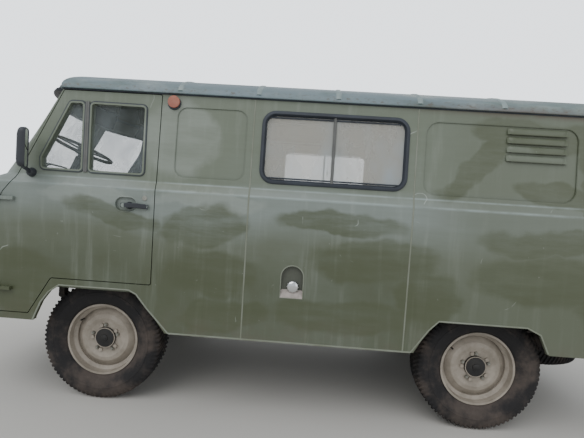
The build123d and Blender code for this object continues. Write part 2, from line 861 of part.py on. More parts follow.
# Axles with offset differentials
tube_radius = 38
front_diff_y = -130
rear_diff_y = -60
diff_radius = 148
diff_half = 95
nose_length = 230
kingpin_y = 600
ball_radius = 50
ball_neck_radius = 26
kingpin_radius = 11
kingpin_reach = 20
plate_radius = 150
plate_gap = 6
plate_thickness = 6
hub_inner = -40
plate_y = track / 2 + hub_inner - plate_gap - plate_thickness
spindle_radius = 30
spindle_end = 14
axle_ends = (("front", front_axle_x, front_diff_y, -1), ("rear", rear_axle_x, rear_diff_y, 1))


def diff_housing(axle_x, diff_y, toward):
    with BuildPart() as housing:
        with BuildSketch(Plane(origin=(axle_x, diff_y, wheel_z), x_dir=(0, 1, 0), z_dir=(1, 0, 0))) as half:
            with BuildLine():
                Line((-diff_half, 0), (-diff_half, 60))
                ThreePointArc((-diff_half, 60), (0, diff_radius), (diff_half, 60))
                Line((diff_half, 60), (diff_half, 0))
                Line((diff_half, 0), (-diff_half, 0))
            make_face()
        revolve(axis=Axis((axle_x, 0, wheel_z), (0, 1, 0)))
        with BuildSketch(Plane(origin=(axle_x, diff_y, wheel_z), x_dir=(0, 1, 0), z_dir=(toward, 0, 0))) as snout:
            Circle(70)
        extrude(amount=nose_length, taper=6)
    return housing.part


with BuildPart() as front_axle:
    add(diff_housing(front_axle_x, front_diff_y, -1))
    with BuildSketch(Plane(origin=(front_axle_x, 0, wheel_z), x_dir=(1, 0, 0), z_dir=(0, 1, 0))) as tube:
        Circle(tube_radius)
    extrude(amount=kingpin_y - 90, both=True)
    for name, side in sides:
        with BuildSketch(Plane(origin=(front_axle_x, side * kingpin_y, wheel_z), x_dir=(0, 1, 0), z_dir=(1, 0, 0))) as ball:
            with BuildLine():
                CenterArc((0, 0), ball_radius, 0, 180)
                Line((-ball_radius, 0), (ball_radius, 0))
            make_face()
        revolve(axis=Axis((front_axle_x, 0, wheel_z), (0, 1, 0)))
        with BuildSketch(Plane.XZ.offset(-side * (kingpin_y - 95))) as neck:
            with Locations((front_axle_x, wheel_z)):
                Circle(ball_neck_radius)
        extrude(amount=-side * 80)
        with BuildSketch(Plane.XY.offset(wheel_z - ball_radius - kingpin_reach)) as pins:
            with Locations((front_axle_x, side * kingpin_y)):
                Circle(kingpin_radius)
        extrude(amount=(ball_radius + kingpin_reach) * 2)
front_axle.part.label = "front_axle"
export_step(front_axle.part, "parts/front_axle.step")

with BuildPart() as rear_axle:
    add(diff_housing(rear_axle_x, rear_diff_y, 1))
    with BuildSketch(Plane(origin=(rear_axle_x, 0, wheel_z), x_dir=(1, 0, 0), z_dir=(0, 1, 0))) as tube:
        Circle(tube_radius)
    extrude(amount=plate_y + plate_thickness, both=True)
    with BuildSketch(Plane(origin=(rear_axle_x, 0, wheel_z), x_dir=(1, 0, 0), z_dir=(0, 1, 0))) as spindle:
        Circle(spindle_radius)
    extrude(amount=track / 2 + spindle_end, both=True)
    for name, side in sides:
        with BuildSketch(Plane.XZ.offset(-side * plate_y)) as plate:
            with Locations((rear_axle_x, wheel_z)):
                Circle(plate_radius)
        extrude(amount=-side * plate_thickness)
rear_axle.part.label = "rear_axle"
export_step(rear_axle.part, "parts/rear_axle.step")

# Steering knuckles, each with its housing round the ball, backing plate, spindle and steering arm
housing_radius = 74
housing_gap = 6
arm_length = 190
arm_drop = 60
arm_section = 26
arm_eye_radius = 18
tie_pin_radius = 8
tie_eye_radius = 17
tie_eye_height = 22
tie_rod_radius = 12
arm_x = front_axle_x - arm_length
arm_z = wheel_z - arm_drop
tie_z = arm_z - arm_section / 2 - 3 - tie_eye_height / 2

for name, side in sides:
    with BuildPart() as knuckle:
        ball_plane = Plane(origin=(front_axle_x, kingpin_y, wheel_z), x_dir=(0, 1, 0), z_dir=(1, 0, 0))
        wheel_line = Axis((front_axle_x, 0, wheel_z), (0, 1, 0))
        with BuildSketch(ball_plane) as housing:
            with BuildLine():
                CenterArc((0, 0), housing_radius, 0, 180)
                Line((-housing_radius, 0), (housing_radius, 0))
            make_face()
        revolve(axis=wheel_line)
        with BuildSketch(Plane.XZ.offset(-plate_y)) as plate:
            with Locations((front_axle_x, wheel_z)):
                Circle(plate_radius)
        extrude(amount=-plate_thickness)
        with BuildSketch(Plane.XZ.offset(-kingpin_y)) as spindle:
            with Locations((front_axle_x, wheel_z)):
                Circle(spindle_radius)
        extrude(amount=kingpin_y - track / 2 - spindle_end)
        with BuildSketch(Plane.XY.offset(arm_z - arm_section / 2)) as arm:
            with Locations((front_axle_x - arm_length / 2, kingpin_y)):
                Rectangle(arm_length, arm_section)
            with Locations((arm_x, kingpin_y)):
                Circle(arm_eye_radius)
        extrude(amount=arm_section)
        with BuildSketch(ball_plane) as cavity:
            with BuildLine():
                CenterArc((0, 0), ball_radius + housing_gap, 0, 180)
                Line((-ball_radius - housing_gap, 0), (ball_radius + housing_gap, 0))
            make_face()
        revolve(axis=wheel_line, mode=Mode.SUBTRACT)
        with BuildSketch(Plane.XZ.offset(-(kingpin_y - 24))) as mouth:
            with Locations((front_axle_x, wheel_z)):
                Rectangle(housing_radius * 2 + 4, housing_radius * 2 + 4)
        extrude(amount=housing_radius, mode=Mode.SUBTRACT)
        with BuildSketch(Plane.XY.offset(wheel_z - housing_radius - 10)) as kingpin_bore:
            with Locations((front_axle_x, kingpin_y)):
                Circle(kingpin_radius + pin_gap)
        extrude(amount=housing_radius * 2 + 20, mode=Mode.SUBTRACT)
        with BuildSketch(Plane.XY.offset(tie_z - tie_eye_height / 2)) as tie_pin:
            with Locations((arm_x, kingpin_y)):
                Circle(tie_pin_radius)
        extrude(amount=arm_z - tie_z)
        if side < 0:
            to_right_side()
    knuckle.part.label = f"knuckle_{name}"
    export_step(knuckle.part, f"parts/knuckle_{name}.step")

with BuildPart() as tie_rod:
    with BuildSketch(Plane(origin=(arm_x, 0, tie_z), x_dir=(1, 0, 0), z_dir=(0, 1, 0))) as rod:
        Circle(tie_rod_radius)
    extrude(amount=kingpin_y, both=True)
    with BuildSketch(Plane.XY.offset(tie_z - tie_eye_height / 2)) as eyes:
        with Locations((arm_x, kingpin_y), (arm_x, -kingpin_y)):
            Circle(tie_eye_radius)
    extrude(amount=tie_eye_height)
    with BuildSketch(Plane.XY.offset(tie_z - tie_eye_height)) as eye_bores:
        with Locations((arm_x, kingpin_y), (arm_x, -kingpin_y)):
            Circle(tie_pin_radius + pin_gap)
    extrude(amount=tie_eye_height * 2, mode=Mode.SUBTRACT)
tie_rod.part.label = "tie_rod"
export_step(tie_rod.part, "parts/tie_rod.step")

# Wheels. Profiles are drawn outward along the axle and outward from it
disc_profile = (
    (10, 186), (42, 148), (47, 124), (38, 100), (34, 60), (20, 60), (20, 96), (30, 120), (26, 142), (-8, 186),
)
barrel_profile = (
    (-rim_half_width, 221), (-74.3, 221), (-74.3, 217.7), (-52, 214), (-42, 196), (20, 196), (32, 214),
    (74.3, 217.7), (74.3, 221), (rim_half_width, 221), (rim_half_width, 209), (40, 205), (26, 186), (-46, 186),
    (-60, 205), (-rim_half_width, 209),
)
lug_circle_radius = 139.7 / 2
lug_count = 5
lug_radius = 11
lug_height = 20
cap_face = 51
hub_cap_radius = 63
drum_radius = 145
drum_end = 4
wheel_places = (
    ("front_left", front_axle_x, 1),
    ("front_right", front_axle_x, -1),
    ("rear_left", rear_axle_x, 1),
    ("rear_right", rear_axle_x, -1),
)


def wheel_plane(x, side):
    return Plane(origin=(x, side * track / 2, wheel_z), x_dir=(0, side, 0), z_dir=(side, 0, 0))


def cross_plane(x, side, outward):
    return Plane(origin=(x, side * (track / 2 + outward), wheel_z), x_dir=(1, 0, 0), z_dir=(0, side, 0))


def tyre_face(plane):
    half = tyre_width / 2
    with BuildSketch(plane) as face:
        with BuildLine():
            Line((74, bead_radius), (74, bead_radius + 5))
            Line((74, bead_radius + 5), (92, 240))
            ThreePointArc((92, 240), (half, 288), (103, 342))
            Line((103, 342), (88, 364))
            ThreePointArc((88, 364), (0, tyre_radius), (-88, 364))
            Line((-88, 364), (-103, 342))
            ThreePointArc((-103, 342), (-half, 288), (-92, 240))
            Line((-92, 240), (-74, bead_radius + 5))
            Line((-74, bead_radius + 5), (-74, bead_radius))
            Line((-74, bead_radius), (74, bead_radius))
        make_face()
    return face.sketch


def wheel_disc(plane, axis):
    with BuildPart() as wheel:
        for outline in (barrel_profile, disc_profile):
            with BuildSketch(plane) as section:
                with BuildLine():
                    Polyline(*outline, close=True)
                make_face()
            revolve(section.sketch, axis=axis)
    return wheel.part


for name, x, side in wheel_places:
    axle_line = Axis((x, 0, wheel_z), (0, 1, 0))
    with BuildPart() as tyre:
        revolve(tyre_face(wheel_plane(x, side)), axis=axle_line)
    tyre.part.label = f"tyre_{name}"
    export_step(tyre.part, f"parts/tyre_{name}.step")

    with BuildPart() as rim:
        add(wheel_disc(wheel_plane(x, side), axle_line))
        with BuildSketch(cross_plane(x, side, hub_inner)) as drum:
            Circle(drum_radius)
        extrude(amount=drum_end - hub_inner)
        with BuildSketch(cross_plane(x, side, drum_end)) as hub:
            Circle(hub_cap_radius)
        extrude(amount=cap_face - drum_end)
        with BuildSketch(cross_plane(x, side, 30)) as lugs:
            with PolarLocations(lug_circle_radius + 12, lug_count):
                Circle(lug_radius)
        extrude(amount=lug_height)
        with BuildSketch(cross_plane(x, side, hub_inner)) as bore:
            Circle(spindle_radius + pin_gap)
        extrude(amount=spindle_end - hub_inner + 2, mode=Mode.SUBTRACT)
    rim.part.label = f"rim_{name}"
    export_step(rim.part, f"parts/rim_{name}.step")

# Leaf springs over the axles, their shackles, and the shock absorbers
spring_y = rail_y
spring_half = 500
spring_width = 56
spring_eye_z = 520
spring_seat_z = wheel_z + tube_radius
leaf_height = 12
leaf_rows = (500, 430, 350, 260, 170)
spring_eye_radius = 22
shackle_width = 40
damper_radius = 30
damper_lean = 150
damper_y = rail_y - 76

with BuildPart() as leaf_springs:
    for axle_name, axle_x, diff_y, toward in axle_ends:
        for name, side in sides:
            plane = Plane.XZ.offset(-(side * spring_y - spring_width / 2))
            for row, reach in enumerate(leaf_rows):
                low = spring_seat_z + (len(leaf_rows) - 1 - row) * leaf_height
                rise = (spring_eye_z - low) * (reach / spring_half) ** 2 * 0.8
                with BuildSketch(plane) as leaf:
                    with BuildLine():
                        ThreePointArc((axle_x - reach, low + rise), (axle_x, low), (axle_x + reach, low + rise))
                        Line((axle_x + reach, low + rise), (axle_x + reach, low + rise + leaf_height))
                        ThreePointArc(
                            (axle_x + reach, low + rise + leaf_height),
                            (axle_x, low + leaf_height),
                            (axle_x - reach, low + rise + leaf_height),
                        )
                        Line((axle_x - reach, low + rise + leaf_height), (axle_x - reach, low + rise))
                    make_face()
                extrude(amount=-spring_width)
            with BuildSketch(plane) as hangers:
                for end in (-1, 1):
                    with Locations((axle_x + end * (spring_half + 6), spring_eye_z + 8)):
                        Circle(spring_eye_radius)
                    with Locations((axle_x + end * (spring_half + 6), (spring_eye_z + rail_top_z - rail_height) / 2)):
                        Rectangle(shackle_width, rail_top_z - rail_height - spring_eye_z)
            extrude(amount=-spring_width)
leaf_springs.part.label = "leaf_springs"
export_step(leaf_springs.part, "parts/leaf_springs.step")

with BuildPart() as shock_absorbers:
    for axle_name, axle_x, diff_y, toward in axle_ends:
        for name, side in sides:
            foot = Vector(axle_x + damper_lean * toward * -0.3, side * damper_y, wheel_z + tube_radius - 8)
            head = Vector(axle_x + damper_lean * toward * -1.3, side * damper_y, rail_top_z - 30)
            with BuildSketch(Plane(origin=foot, z_dir=head - foot)) as body:
                Circle(damper_radius)
            extrude(amount=(head - foot).length)
            with BuildSketch(Plane.XZ.offset(-side * (damper_y - 14))) as eye:
                with Locations((head.X, head.Z)):
                    Circle(16)
            extrude(amount=-side * (rail_y - rail_width / 2 - damper_y + 14))
shock_absorbers.part.label = "shock_absorbers"
export_step(shock_absorbers.part, "parts/shock_absorbers.step")

# Engine block, gearbox with transfer case, and propeller shafts
engine_x = (front_axle_x - 250, front_axle_x + 420)
engine_half = 180
engine_z = (560, 1040)
gearbox_x = (front_axle_x - 1080, engine_x[0])
transfer_z = 470
gearbox_half = 78
gearbox_z = (440, 580)
shaft_radius = 32
shaft_front_z = 430
joint_radius = 48

with BuildPart() as engine:
    with BuildSketch(Plane.XY.offset(engine_z[0])) as block:
        with Locations(((engine_x[0] + engine_x[1]) / 2, 0)):
            RectangleRounded(engine_x[1] - engine_x[0], engine_half * 2, 30)
    extrude(amount=engine_z[1] - engine_z[0])
    with BuildSketch(Plane.XY.offset(rail_top_z - rail_height)) as feet:
        with Locations((engine_x[0] + 100, 0)):
            Rectangle(90, (rail_y - rail_width / 2) * 2)
    extrude(amount=60)
engine.part.label = "engine"
export_step(engine.part, "parts/engine.step")

with BuildPart() as gearbox:
    with BuildSketch(Plane.YZ.offset(gearbox_x[0])) as case:
        with Locations((0, (gearbox_z[0] + gearbox_z[1]) / 2)):
            RectangleRounded(gearbox_half * 2, gearbox_z[1] - gearbox_z[0], 40)
    extrude(amount=gearbox_x[1] - gearbox_x[0])
    with BuildSketch(Plane.YZ.offset(gearbox_x[0])) as transfer:
        with Locations((front_diff_y / 2, transfer_z)):
            RectangleRounded(330, 180, 50)
    extrude(amount=260)
gearbox.part.label = "gearbox"
export_step(gearbox.part, "parts/gearbox.step")

shaft_ends = (
    (
        (gearbox_x[0] + 260 + seat_gap, front_diff_y, shaft_front_z),
        (front_axle_x - nose_length - seat_gap, front_diff_y, wheel_z),
    ),
    (
        (rear_axle_x + nose_length + seat_gap, rear_diff_y, wheel_z),
        (gearbox_x[0] - seat_gap, rear_diff_y, 470),
    ),
)

with BuildPart() as propeller_shafts:
    for low, high in shaft_ends:
        start = Vector(*low)
        end = Vector(*high)
        step = (end - start).normalized()
        inner = start + step * 60
        with BuildSketch(Plane(origin=inner, z_dir=step)) as tube:
            Circle(shaft_radius)
        extrude(amount=(end - start).length - 120)
        for x, y, z, reach in (
            (start.X, start.Y, start.Z, 80),
            (end.X, end.Y, end.Z, -80),
        ):
            with BuildSketch(Plane.YZ.offset(x)) as yoke:
                with Locations((y, z)):
                    Circle(joint_radius)
            extrude(amount=reach)
propeller_shafts.part.label = "propeller_shafts"
export_step(propeller_shafts.part, "parts/propeller_shafts.step")

# Fuel tanks between the axles and the exhaust under the left rail
tank_x = (-420, 250)
tank_y = (rail_y + rail_width / 2 + seat_gap, 850)
tank_z = (500, floor_z - seat_gap)

with BuildPart() as fuel_tanks:
    for name, side in sides:
        with BuildSketch(Plane.XY.offset(tank_z[0])) as tank:
            with Locations(((tank_x[0] + tank_x[1]) / 2, side * (tank_y[0] + tank_y[1]) / 2)):
                RectangleRounded(tank_x[1] - tank_x[0], tank_y[1] - tank_y[0], 50)
        extrude(amount=tank_z[1] - tank_z[0])
fuel_tanks.part.label = "fuel_tanks"
export_step(fuel_tanks.part, "parts/fuel_tanks.step")

exhaust_radius = 24
muffler_radius = 82
muffler_y = 236
muffler_z = 470
muffler_x = (-440, 20)
exhaust_rear_x = rear_axle_x + 600
exhaust_outlet_y = 800

with BuildPart() as exhaust:
    with BuildSketch(Plane.YZ.offset(muffler_x[0])) as muffler:
        with Locations((muffler_y, muffler_z)):
            Circle(muffler_radius)
    extrude(amount=muffler_x[1] - muffler_x[0])
    with BuildSketch(Plane.YZ.offset(exhaust_rear_x)) as pipe:
        with Locations((muffler_y, muffler_z)):
            Circle(exhaust_radius)
    extrude(amount=engine_x[0] + 140 - exhaust_rear_x)
    with BuildSketch(Plane.XZ.offset(-(muffler_y - exhaust_radius))) as outlet:
        with Locations((exhaust_rear_x, muffler_z)):
            Circle(exhaust_radius)
    extrude(amount=muffler_y - exhaust_radius - exhaust_outlet_y)
    for x in (muffler_x[0] + 60, muffler_x[1] - 110):
        with BuildSketch(Plane.XY.offset(muffler_z)) as strap:
            with Locations((x, muffler_y)):
                Rectangle(30, 20)
        extrude(amount=floor_z - seat_gap - muffler_z)
exhaust.part.label = "exhaust"
export_step(exhaust.part, "parts/exhaust.step")

# Floor with its wheel boxes and the hole under the engine cover
box_half = 480
box_top_z = 880
box_inner_y = 470
box_wall = 12
floor_half = 905
floor_front_x = nose_end - 190
floor_rear_x = tail_end + 160
cover_x = (engine_x[0] - 60, engine_x[1] + 60)
cover_half = 250
cover_wall = 12
cover_top_z = engine_z[1] + 40

with BuildPart() as floor:
    with BuildSketch(Plane.XY.offset(floor_z)) as plate:
        with Locations(((floor_front_x + floor_rear_x) / 2, 0)):
            Rectangle(floor_front_x - floor_rear_x, floor_half * 2)
        fillet(plate.vertices().sort_by(Axis.X)[-2:], 180)
    extrude(amount=floor_thickness)
    wheel_boxes = [(x, side * (box_inner_y + floor_half) / 2) for x in (front_axle_x, rear_axle_x) for n, side in sides]
    with BuildSketch(Plane.XY.offset(floor_z)) as boxes:
        with Locations(*wheel_boxes):
            Rectangle(box_half * 2, floor_half - box_inner_y)
    extrude(amount=box_top_z - floor_z)
    with BuildSketch(Plane.XY.offset(floor_z)) as box_hollows:
        with Locations(*wheel_boxes):
            Rectangle((box_half - box_wall) * 2, floor_half - box_inner_y - box_wall * 2)
    extrude(amount=box_top_z - box_wall - floor_z, mode=Mode.SUBTRACT)
    with BuildSketch(Plane.XY.offset(floor_z)) as engine_hole:
        with Locations(((cover_x[0] + cover_x[1]) / 2, 0)):
            Rectangle(cover_x[1] - cover_x[0] - 60, cover_half * 2 - 60)
    extrude(amount=floor_thickness, mode=Mode.SUBTRACT)
floor.part.label = "floor"
export_step(floor.part, "parts/floor.step")

with BuildPart() as engine_cover:
    with BuildSketch(Plane.XY.offset(floor_z + floor_thickness)) as hood:
        with Locations(((cover_x[0] + cover_x[1]) / 2, 0)):
            RectangleRounded(cover_x[1] - cover_x[0], cover_half * 2, 60)
    extrude(amount=cover_top_z - floor_z - floor_thickness)
    with BuildSketch(Plane.XY.offset(floor_z + floor_thickness)) as under:
        with Locations(((cover_x[0] + cover_x[1]) / 2, 0)):
            RectangleRounded(cover_x[1] - cover_x[0] - cover_wall * 2, (cover_half - cover_wall) * 2, 60 - cover_wall)
    extrude(amount=cover_top_z - floor_z - floor_thickness - cover_wall, mode=Mode.SUBTRACT)
engine_cover.part.label = "engine_cover"
export_step(engine_cover.part, "parts/engine_cover.step")

# Partition behind the cab, with its window
partition_x = front_axle_x - box_half - 30
partition_thickness = 16
partition_window = (0, 1560, 620, 260)
partition_edge = [
    (skin_y(z) - wall - seat_gap, z) for z in (floor_z + floor_thickness, bulge_z, belt_z, shoulder_z, eaves_z - 1)
] + [(780, 1940)]

with BuildPart() as partition:
    with BuildSketch(Plane.YZ.offset(partition_x)) as screen:
        with BuildLine():
            Polyline(*reversed(partition_edge), *[(-y, z) for y, z in partition_edge], close=True)
        make_face()
        with Locations(partition_window[:2]):
            RectangleRounded(*partition_window[2:], 40, mode=Mode.SUBTRACT)
    extrude(amount=partition_thickness)
partition.part.label = "partition"
export_step(partition.part, "parts/partition.step")

# Dashboard, steering column and wheel
dash_half = 780
wheel_lean = 24
steering_x = front_axle_x + 380
steering_y = 430
steering_z = 1567
steering_radius = 200
steering_tube = 11
column_radius = 22
column_top = 60
column_foot_z = floor_z + floor_thickness + seat_gap + column_radius * sin(radians(wheel_lean))
column_length = (steering_z - column_foot_z) / cos(radians(wheel_lean)) - column_top
steering_plane = Plane(
    origin=(steering_x, steering_y, steering_z),
    x_dir=(cos(radians(wheel_lean)), 0, sin(radians(wheel_lean))),
    z_dir=(-sin(radians(wheel_lean)), 0, cos(radians(wheel_lean))),
)

with BuildPart() as dashboard:
    with BuildSketch(Plane.XZ.offset(dash_half)) as section:
        with BuildLine():
            Polyline(
                (front_axle_x + 560, 1180),
                (front_axle_x + 560, 1330),
                (front_axle_x + 600, 1345),
                (front_axle_x + 660, 1345),
                (front_axle_x + 660, 1180),
                close=True,
            )
        make_face()
    extrude(amount=-dash_half * 2)
    with BuildSketch(steering_plane.offset(-40)) as column_hole:
        Circle(column_radius + seat_gap)
    extrude(amount=-800, mode=Mode.SUBTRACT)
dashboard.part.label = "dashboard"
export_step(dashboard.part, "parts/dashboard.step")

with BuildPart() as steering_column:
    with BuildSketch(steering_plane.offset(-column_top)) as column:
        Circle(column_radius)
    extrude(amount=-column_length)
steering_column.part.label = "steering_column"
export_step(steering_column.part, "parts/steering_column.step")

with BuildPart() as steering_wheel:
    with BuildSketch(Plane(steering_plane.origin, x_dir=steering_plane.x_dir, z_dir=(0, -1, 0))) as ring:
        with Locations((steering_radius, 0)):
            Circle(steering_tube)
    revolve(axis=Axis(steering_plane.origin, steering_plane.z_dir))
    with BuildSketch(steering_plane.offset(-40)) as hub:
        Circle(34)
    extrude(amount=52)
    with BuildSketch(steering_plane.offset(-8)) as spokes:
        with PolarLocations(steering_radius / 2, 3):
            Rectangle(steering_radius, 22)
    extrude(amount=10)
    with BuildSketch(steering_plane.offset(-column_top + seat_gap)) as shaft:
        Circle(14)
    extrude(amount=30)
steering_wheel.part.label = "steering_wheel"
export_step(steering_wheel.part, "parts/steering_wheel.step")

# Seats on their boxes, and the benches of the ward with their cushions
seat_x = (front_axle_x - 270, front_axle_x + 170)
seat_y = (330, 800)
seat_box_top = 1010
cushion_height = 110
back_thickness = 110
back_height = 520
bench_y = (480, 850)
bench_top_z = 1060
bench_cushion = 70
bench_x = {"left": (tail_end + 160, partition_x - 4), "right": (tail_end + 160, rear_seam_x - 30)}

with BuildPart() as seat_boxes:
    for name, side in sides:
        with BuildSketch(Plane.XY.offset(box_top_z)) as seat_box:
            with Locations(((seat_x[0] + seat_x[1]) / 2, side * (seat_y[0] + seat_y[1]) / 2)):
                Rectangle(seat_x[1] - seat_x[0] - 40, seat_y[1] - seat_y[0] - 40)
        extrude(amount=seat_box_top - box_top_z)
seat_boxes.part.label = "seat_boxes"
export_step(seat_boxes.part, "parts/seat_boxes.step")

with BuildPart() as cab_cushions:
    for name, side in sides:
        with BuildSketch(Plane.XY.offset(seat_box_top)) as cushion:
            with Locations(((seat_x[0] + seat_x[1]) / 2, side * (seat_y[0] + seat_y[1]) / 2)):
                RectangleRounded(seat_x[1] - seat_x[0], seat_y[1] - seat_y[0], 50)
        extrude(amount=cushion_height)
        with BuildSketch(Plane.YZ.offset(seat_x[0])) as backrest:
            with Locations((side * (seat_y[0] + seat_y[1]) / 2, seat_box_top + cushion_height + back_height / 2)):
                RectangleRounded(seat_y[1] - seat_y[0], back_height, 50)
        extrude(amount=back_thickness)
cab_cushions.part.label = "cab_cushions"
export_step(cab_cushions.part, "parts/cab_cushions.step")

with BuildPart() as ward_benches:
    for name, side in sides:
        low, high = bench_x[name]
        with BuildSketch(Plane.XY.offset(box_top_z)) as bench:
            with Locations(((low + high) / 2, side * (bench_y[0] + bench_y[1]) / 2)):
                Rectangle(high - low, bench_y[1] - bench_y[0])
        extrude(amount=bench_top_z - box_top_z)
        with BuildSketch(Plane.XY.offset(floor_z + floor_thickness)) as bench_feet:
            for x in (low + 30, high - 60):
                if abs(x - rear_axle_x) > box_half + 30:
                    with Locations((x, side * (bench_y[0] + 60))):
                        Rectangle(40, 40)
        extrude(amount=bench_top_z - floor_z - floor_thickness)
ward_benches.part.label = "ward_benches"
export_step(ward_benches.part, "parts/ward_benches.step")

with BuildPart() as bench_cushions:
    for name, side in sides:
        low, high = bench_x[name]
        with BuildSketch(Plane.XY.offset(bench_top_z)) as pad:
            with Locations(((low + high) / 2, side * (bench_y[0] + bench_y[1]) / 2)):
                RectangleRounded(high - low, bench_y[1] - bench_y[0], 30)
        extrude(amount=bench_cushion)
bench_cushions.part.label = "bench_cushions"
export_step(bench_cushions.part, "parts/bench_cushions.step")

# Lamps
lamp_front_x = nose_end - 62
amber_z = 1060
amber_radius = 38
amber_reach = 30
tail_lamp_y = 800
tail_lamp_z = (640, 760)
tail_lamp_width = 70
tail_lamp_reach = 26
repeater_x = front_axle_x - 417
repeater_z = 1824
repeater_radius = 34
repeater_reach = 20

with BuildPart() as headlamps:
    for name, side in sides:
        lamp_line = Axis((0, side * lamp_y, lamp_z), (1, 0, 0))
        with BuildSketch(Plane(origin=(lamp_front_x, side * lamp_y, lamp_z), x_dir=(1, 0, 0), z_dir=(0, -1, 0))):
            with BuildLine():
                Polyline(
                    (16 + lens_rise, 0),
                    (-90, 0),
                    (-90, lamp_radius - seat_gap),
                    (-10, lamp_radius - seat_gap),
                    (4, lamp_rim_radius),
                    (16, lamp_lens_radius),
                )
                RadiusArc((16, lamp_lens_radius), (16 + lens_rise, 0), lens_sphere)
            make_face()
        revolve(axis=lamp_line)
headlamps.part.label = "headlamps"
export_step(headlamps.part, "parts/headlamps.step")

with BuildPart() as amber_lamps:
    for name, side in sides:
        with BuildSketch(Plane.YZ.offset(front_axle_x + 800)) as turn_lamp:
            with Locations((side * lamp_y, amber_z)):
                Circle(amber_radius)
        extrude(amount=lamp_front_x + amber_reach - 60 - front_axle_x - 800)
    add(nose_solid(-seat_gap), mode=Mode.SUBTRACT)
    for name, side in sides:
        with BuildSketch(Plane.XZ.offset(-side * (skin_y(repeater_z - repeater_radius) + seat_gap))) as repeater:
            with Locations((repeater_x, repeater_z)):
                Circle(repeater_radius)
        extrude(amount=-side * repeater_reach)
amber_lamps.part.label = "amber_lamps"
export_step(amber_lamps.part, "parts/amber_lamps.step")

with BuildPart() as tail_lamps:
    for name, side in sides:
        with BuildSketch(Plane.YZ.offset(tail_end + 60 - seat_gap)) as lamp:
            with Locations((side * tail_lamp_y, (tail_lamp_z[0] + tail_lamp_z[1]) / 2)):
                RectangleRounded(tail_lamp_width, tail_lamp_z[1] - tail_lamp_z[0], 12)
        extrude(amount=-tail_lamp_reach)
tail_lamps.part.label = "tail_lamps"
export_step(tail_lamps.part, "parts/tail_lamps.step")

# Fuel filler cap in its recess
with BuildPart() as filler_caps:
    cap_y = skin_y(cap_z + cap_radius) - filler_depth + seat_gap
    with BuildSketch(Plane.XZ.offset(-cap_y)) as cap:
        with Locations((front_axle_x - 1163, cap_z)):
            Circle(cap_radius)
    extrude(amount=-22)
filler_caps.part.label = "filler_caps"
export_step(filler_caps.part, "parts/filler_caps.step")

# Spare wheel lying under the tail
spare_x = tail_end + 440
spare_z = 375
spare_carrier_z = spare_z + tyre_width / 2
spare_plane = Plane(origin=(spare_x, 0, spare_z), x_dir=(0, 0, -1), z_dir=(0, 1, 0))
spare_line = Axis((spare_x, 0, 0), (0, 0, 1))

with BuildPart() as spare_wheel:
    revolve(tyre_face(spare_plane), axis=spare_line)
    add(wheel_disc(spare_plane, spare_line))
    with BuildSketch(Plane.XY.offset(spare_z - 34)) as stud:
        with Locations((spare_x, 0)):
            Circle(70)
    extrude(amount=34 + tyre_width / 2 + 20)
    with BuildSketch(Plane.XY.offset(spare_carrier_z + 3)) as carrier:
        with Locations((spare_x, 0)):
            Rectangle(60, (rail_y - rail_width / 2) * 2)
    extrude(amount=rail_top_z - rail_height - spare_carrier_z - 3)
spare_wheel.part.label = "spare_wheel"
export_step(spare_wheel.part, "parts/spare_wheel.step")
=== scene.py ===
import bpy
import bmesh
import math
from mathutils import Matrix, Vector, noise


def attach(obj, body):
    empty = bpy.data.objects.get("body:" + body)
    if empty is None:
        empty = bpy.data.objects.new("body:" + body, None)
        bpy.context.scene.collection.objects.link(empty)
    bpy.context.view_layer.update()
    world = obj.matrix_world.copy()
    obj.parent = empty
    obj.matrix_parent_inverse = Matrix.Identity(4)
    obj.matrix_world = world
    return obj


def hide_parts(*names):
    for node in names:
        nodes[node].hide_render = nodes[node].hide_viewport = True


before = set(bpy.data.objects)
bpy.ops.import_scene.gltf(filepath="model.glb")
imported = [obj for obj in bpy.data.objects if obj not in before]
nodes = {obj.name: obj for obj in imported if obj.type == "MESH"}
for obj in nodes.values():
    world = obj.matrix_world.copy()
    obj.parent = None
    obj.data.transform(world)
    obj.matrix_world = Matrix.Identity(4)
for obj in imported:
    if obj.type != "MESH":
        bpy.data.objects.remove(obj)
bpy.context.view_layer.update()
scene = bpy.context.scene
sides = (("left", 1), ("right", -1))
frontAxle = 1.195
rearAxle = -1.105
wheelHeight = 0.368
halfTrack = 0.721

# Camera first: the photographer stood beside the van and held the camera slightly turned
view = {"place": (-0.037, 3.3933, 1.2995), "yaw": 0.0399, "pitch": -0.0408, "roll": 0.065, "focalPixels": 430,
        "imageWidth": 584, "sensorWidth": 36, "clipStart": 0.02}


def makeCamera():
    yaw, pitch, roll = view["yaw"], view["pitch"], view["roll"]
    ahead = Vector((math.sin(yaw) * math.cos(pitch), -math.cos(yaw) * math.cos(pitch), math.sin(pitch)))
    right = Vector((-math.cos(yaw), -math.sin(yaw), 0))
    up = right.cross(ahead)
    turnedRight = right * math.cos(roll) + up * math.sin(roll)
    turnedUp = up * math.cos(roll) - right * math.sin(roll)
    data = bpy.data.cameras.new("camera")
    data.sensor_fit = "HORIZONTAL"
    data.sensor_width = view["sensorWidth"]
    data.lens = view["focalPixels"] / view["imageWidth"] * view["sensorWidth"]
    data.clip_start = view["clipStart"]
    camera = bpy.data.objects.new("camera", data)
    scene.collection.objects.link(camera)
    axes = Matrix((turnedRight, turnedUp, -ahead)).transposed().to_4x4()
    camera.matrix_world = Matrix.Translation(view["place"]) @ axes
    scene.camera = camera


makeCamera()
print("camera set")


# Materials. addNode is the one way a node is made; the functions after it each draw one pattern.
def hexColour(text):
    channels = [int(text[i : i + 2], 16) / 255 for i in (0, 2, 4)]
    linear = [c / 12.92 if c <= 0.04045 else ((c + 0.055) / 1.055) ** 2.4 for c in channels]
    return (*linear, 1.0)


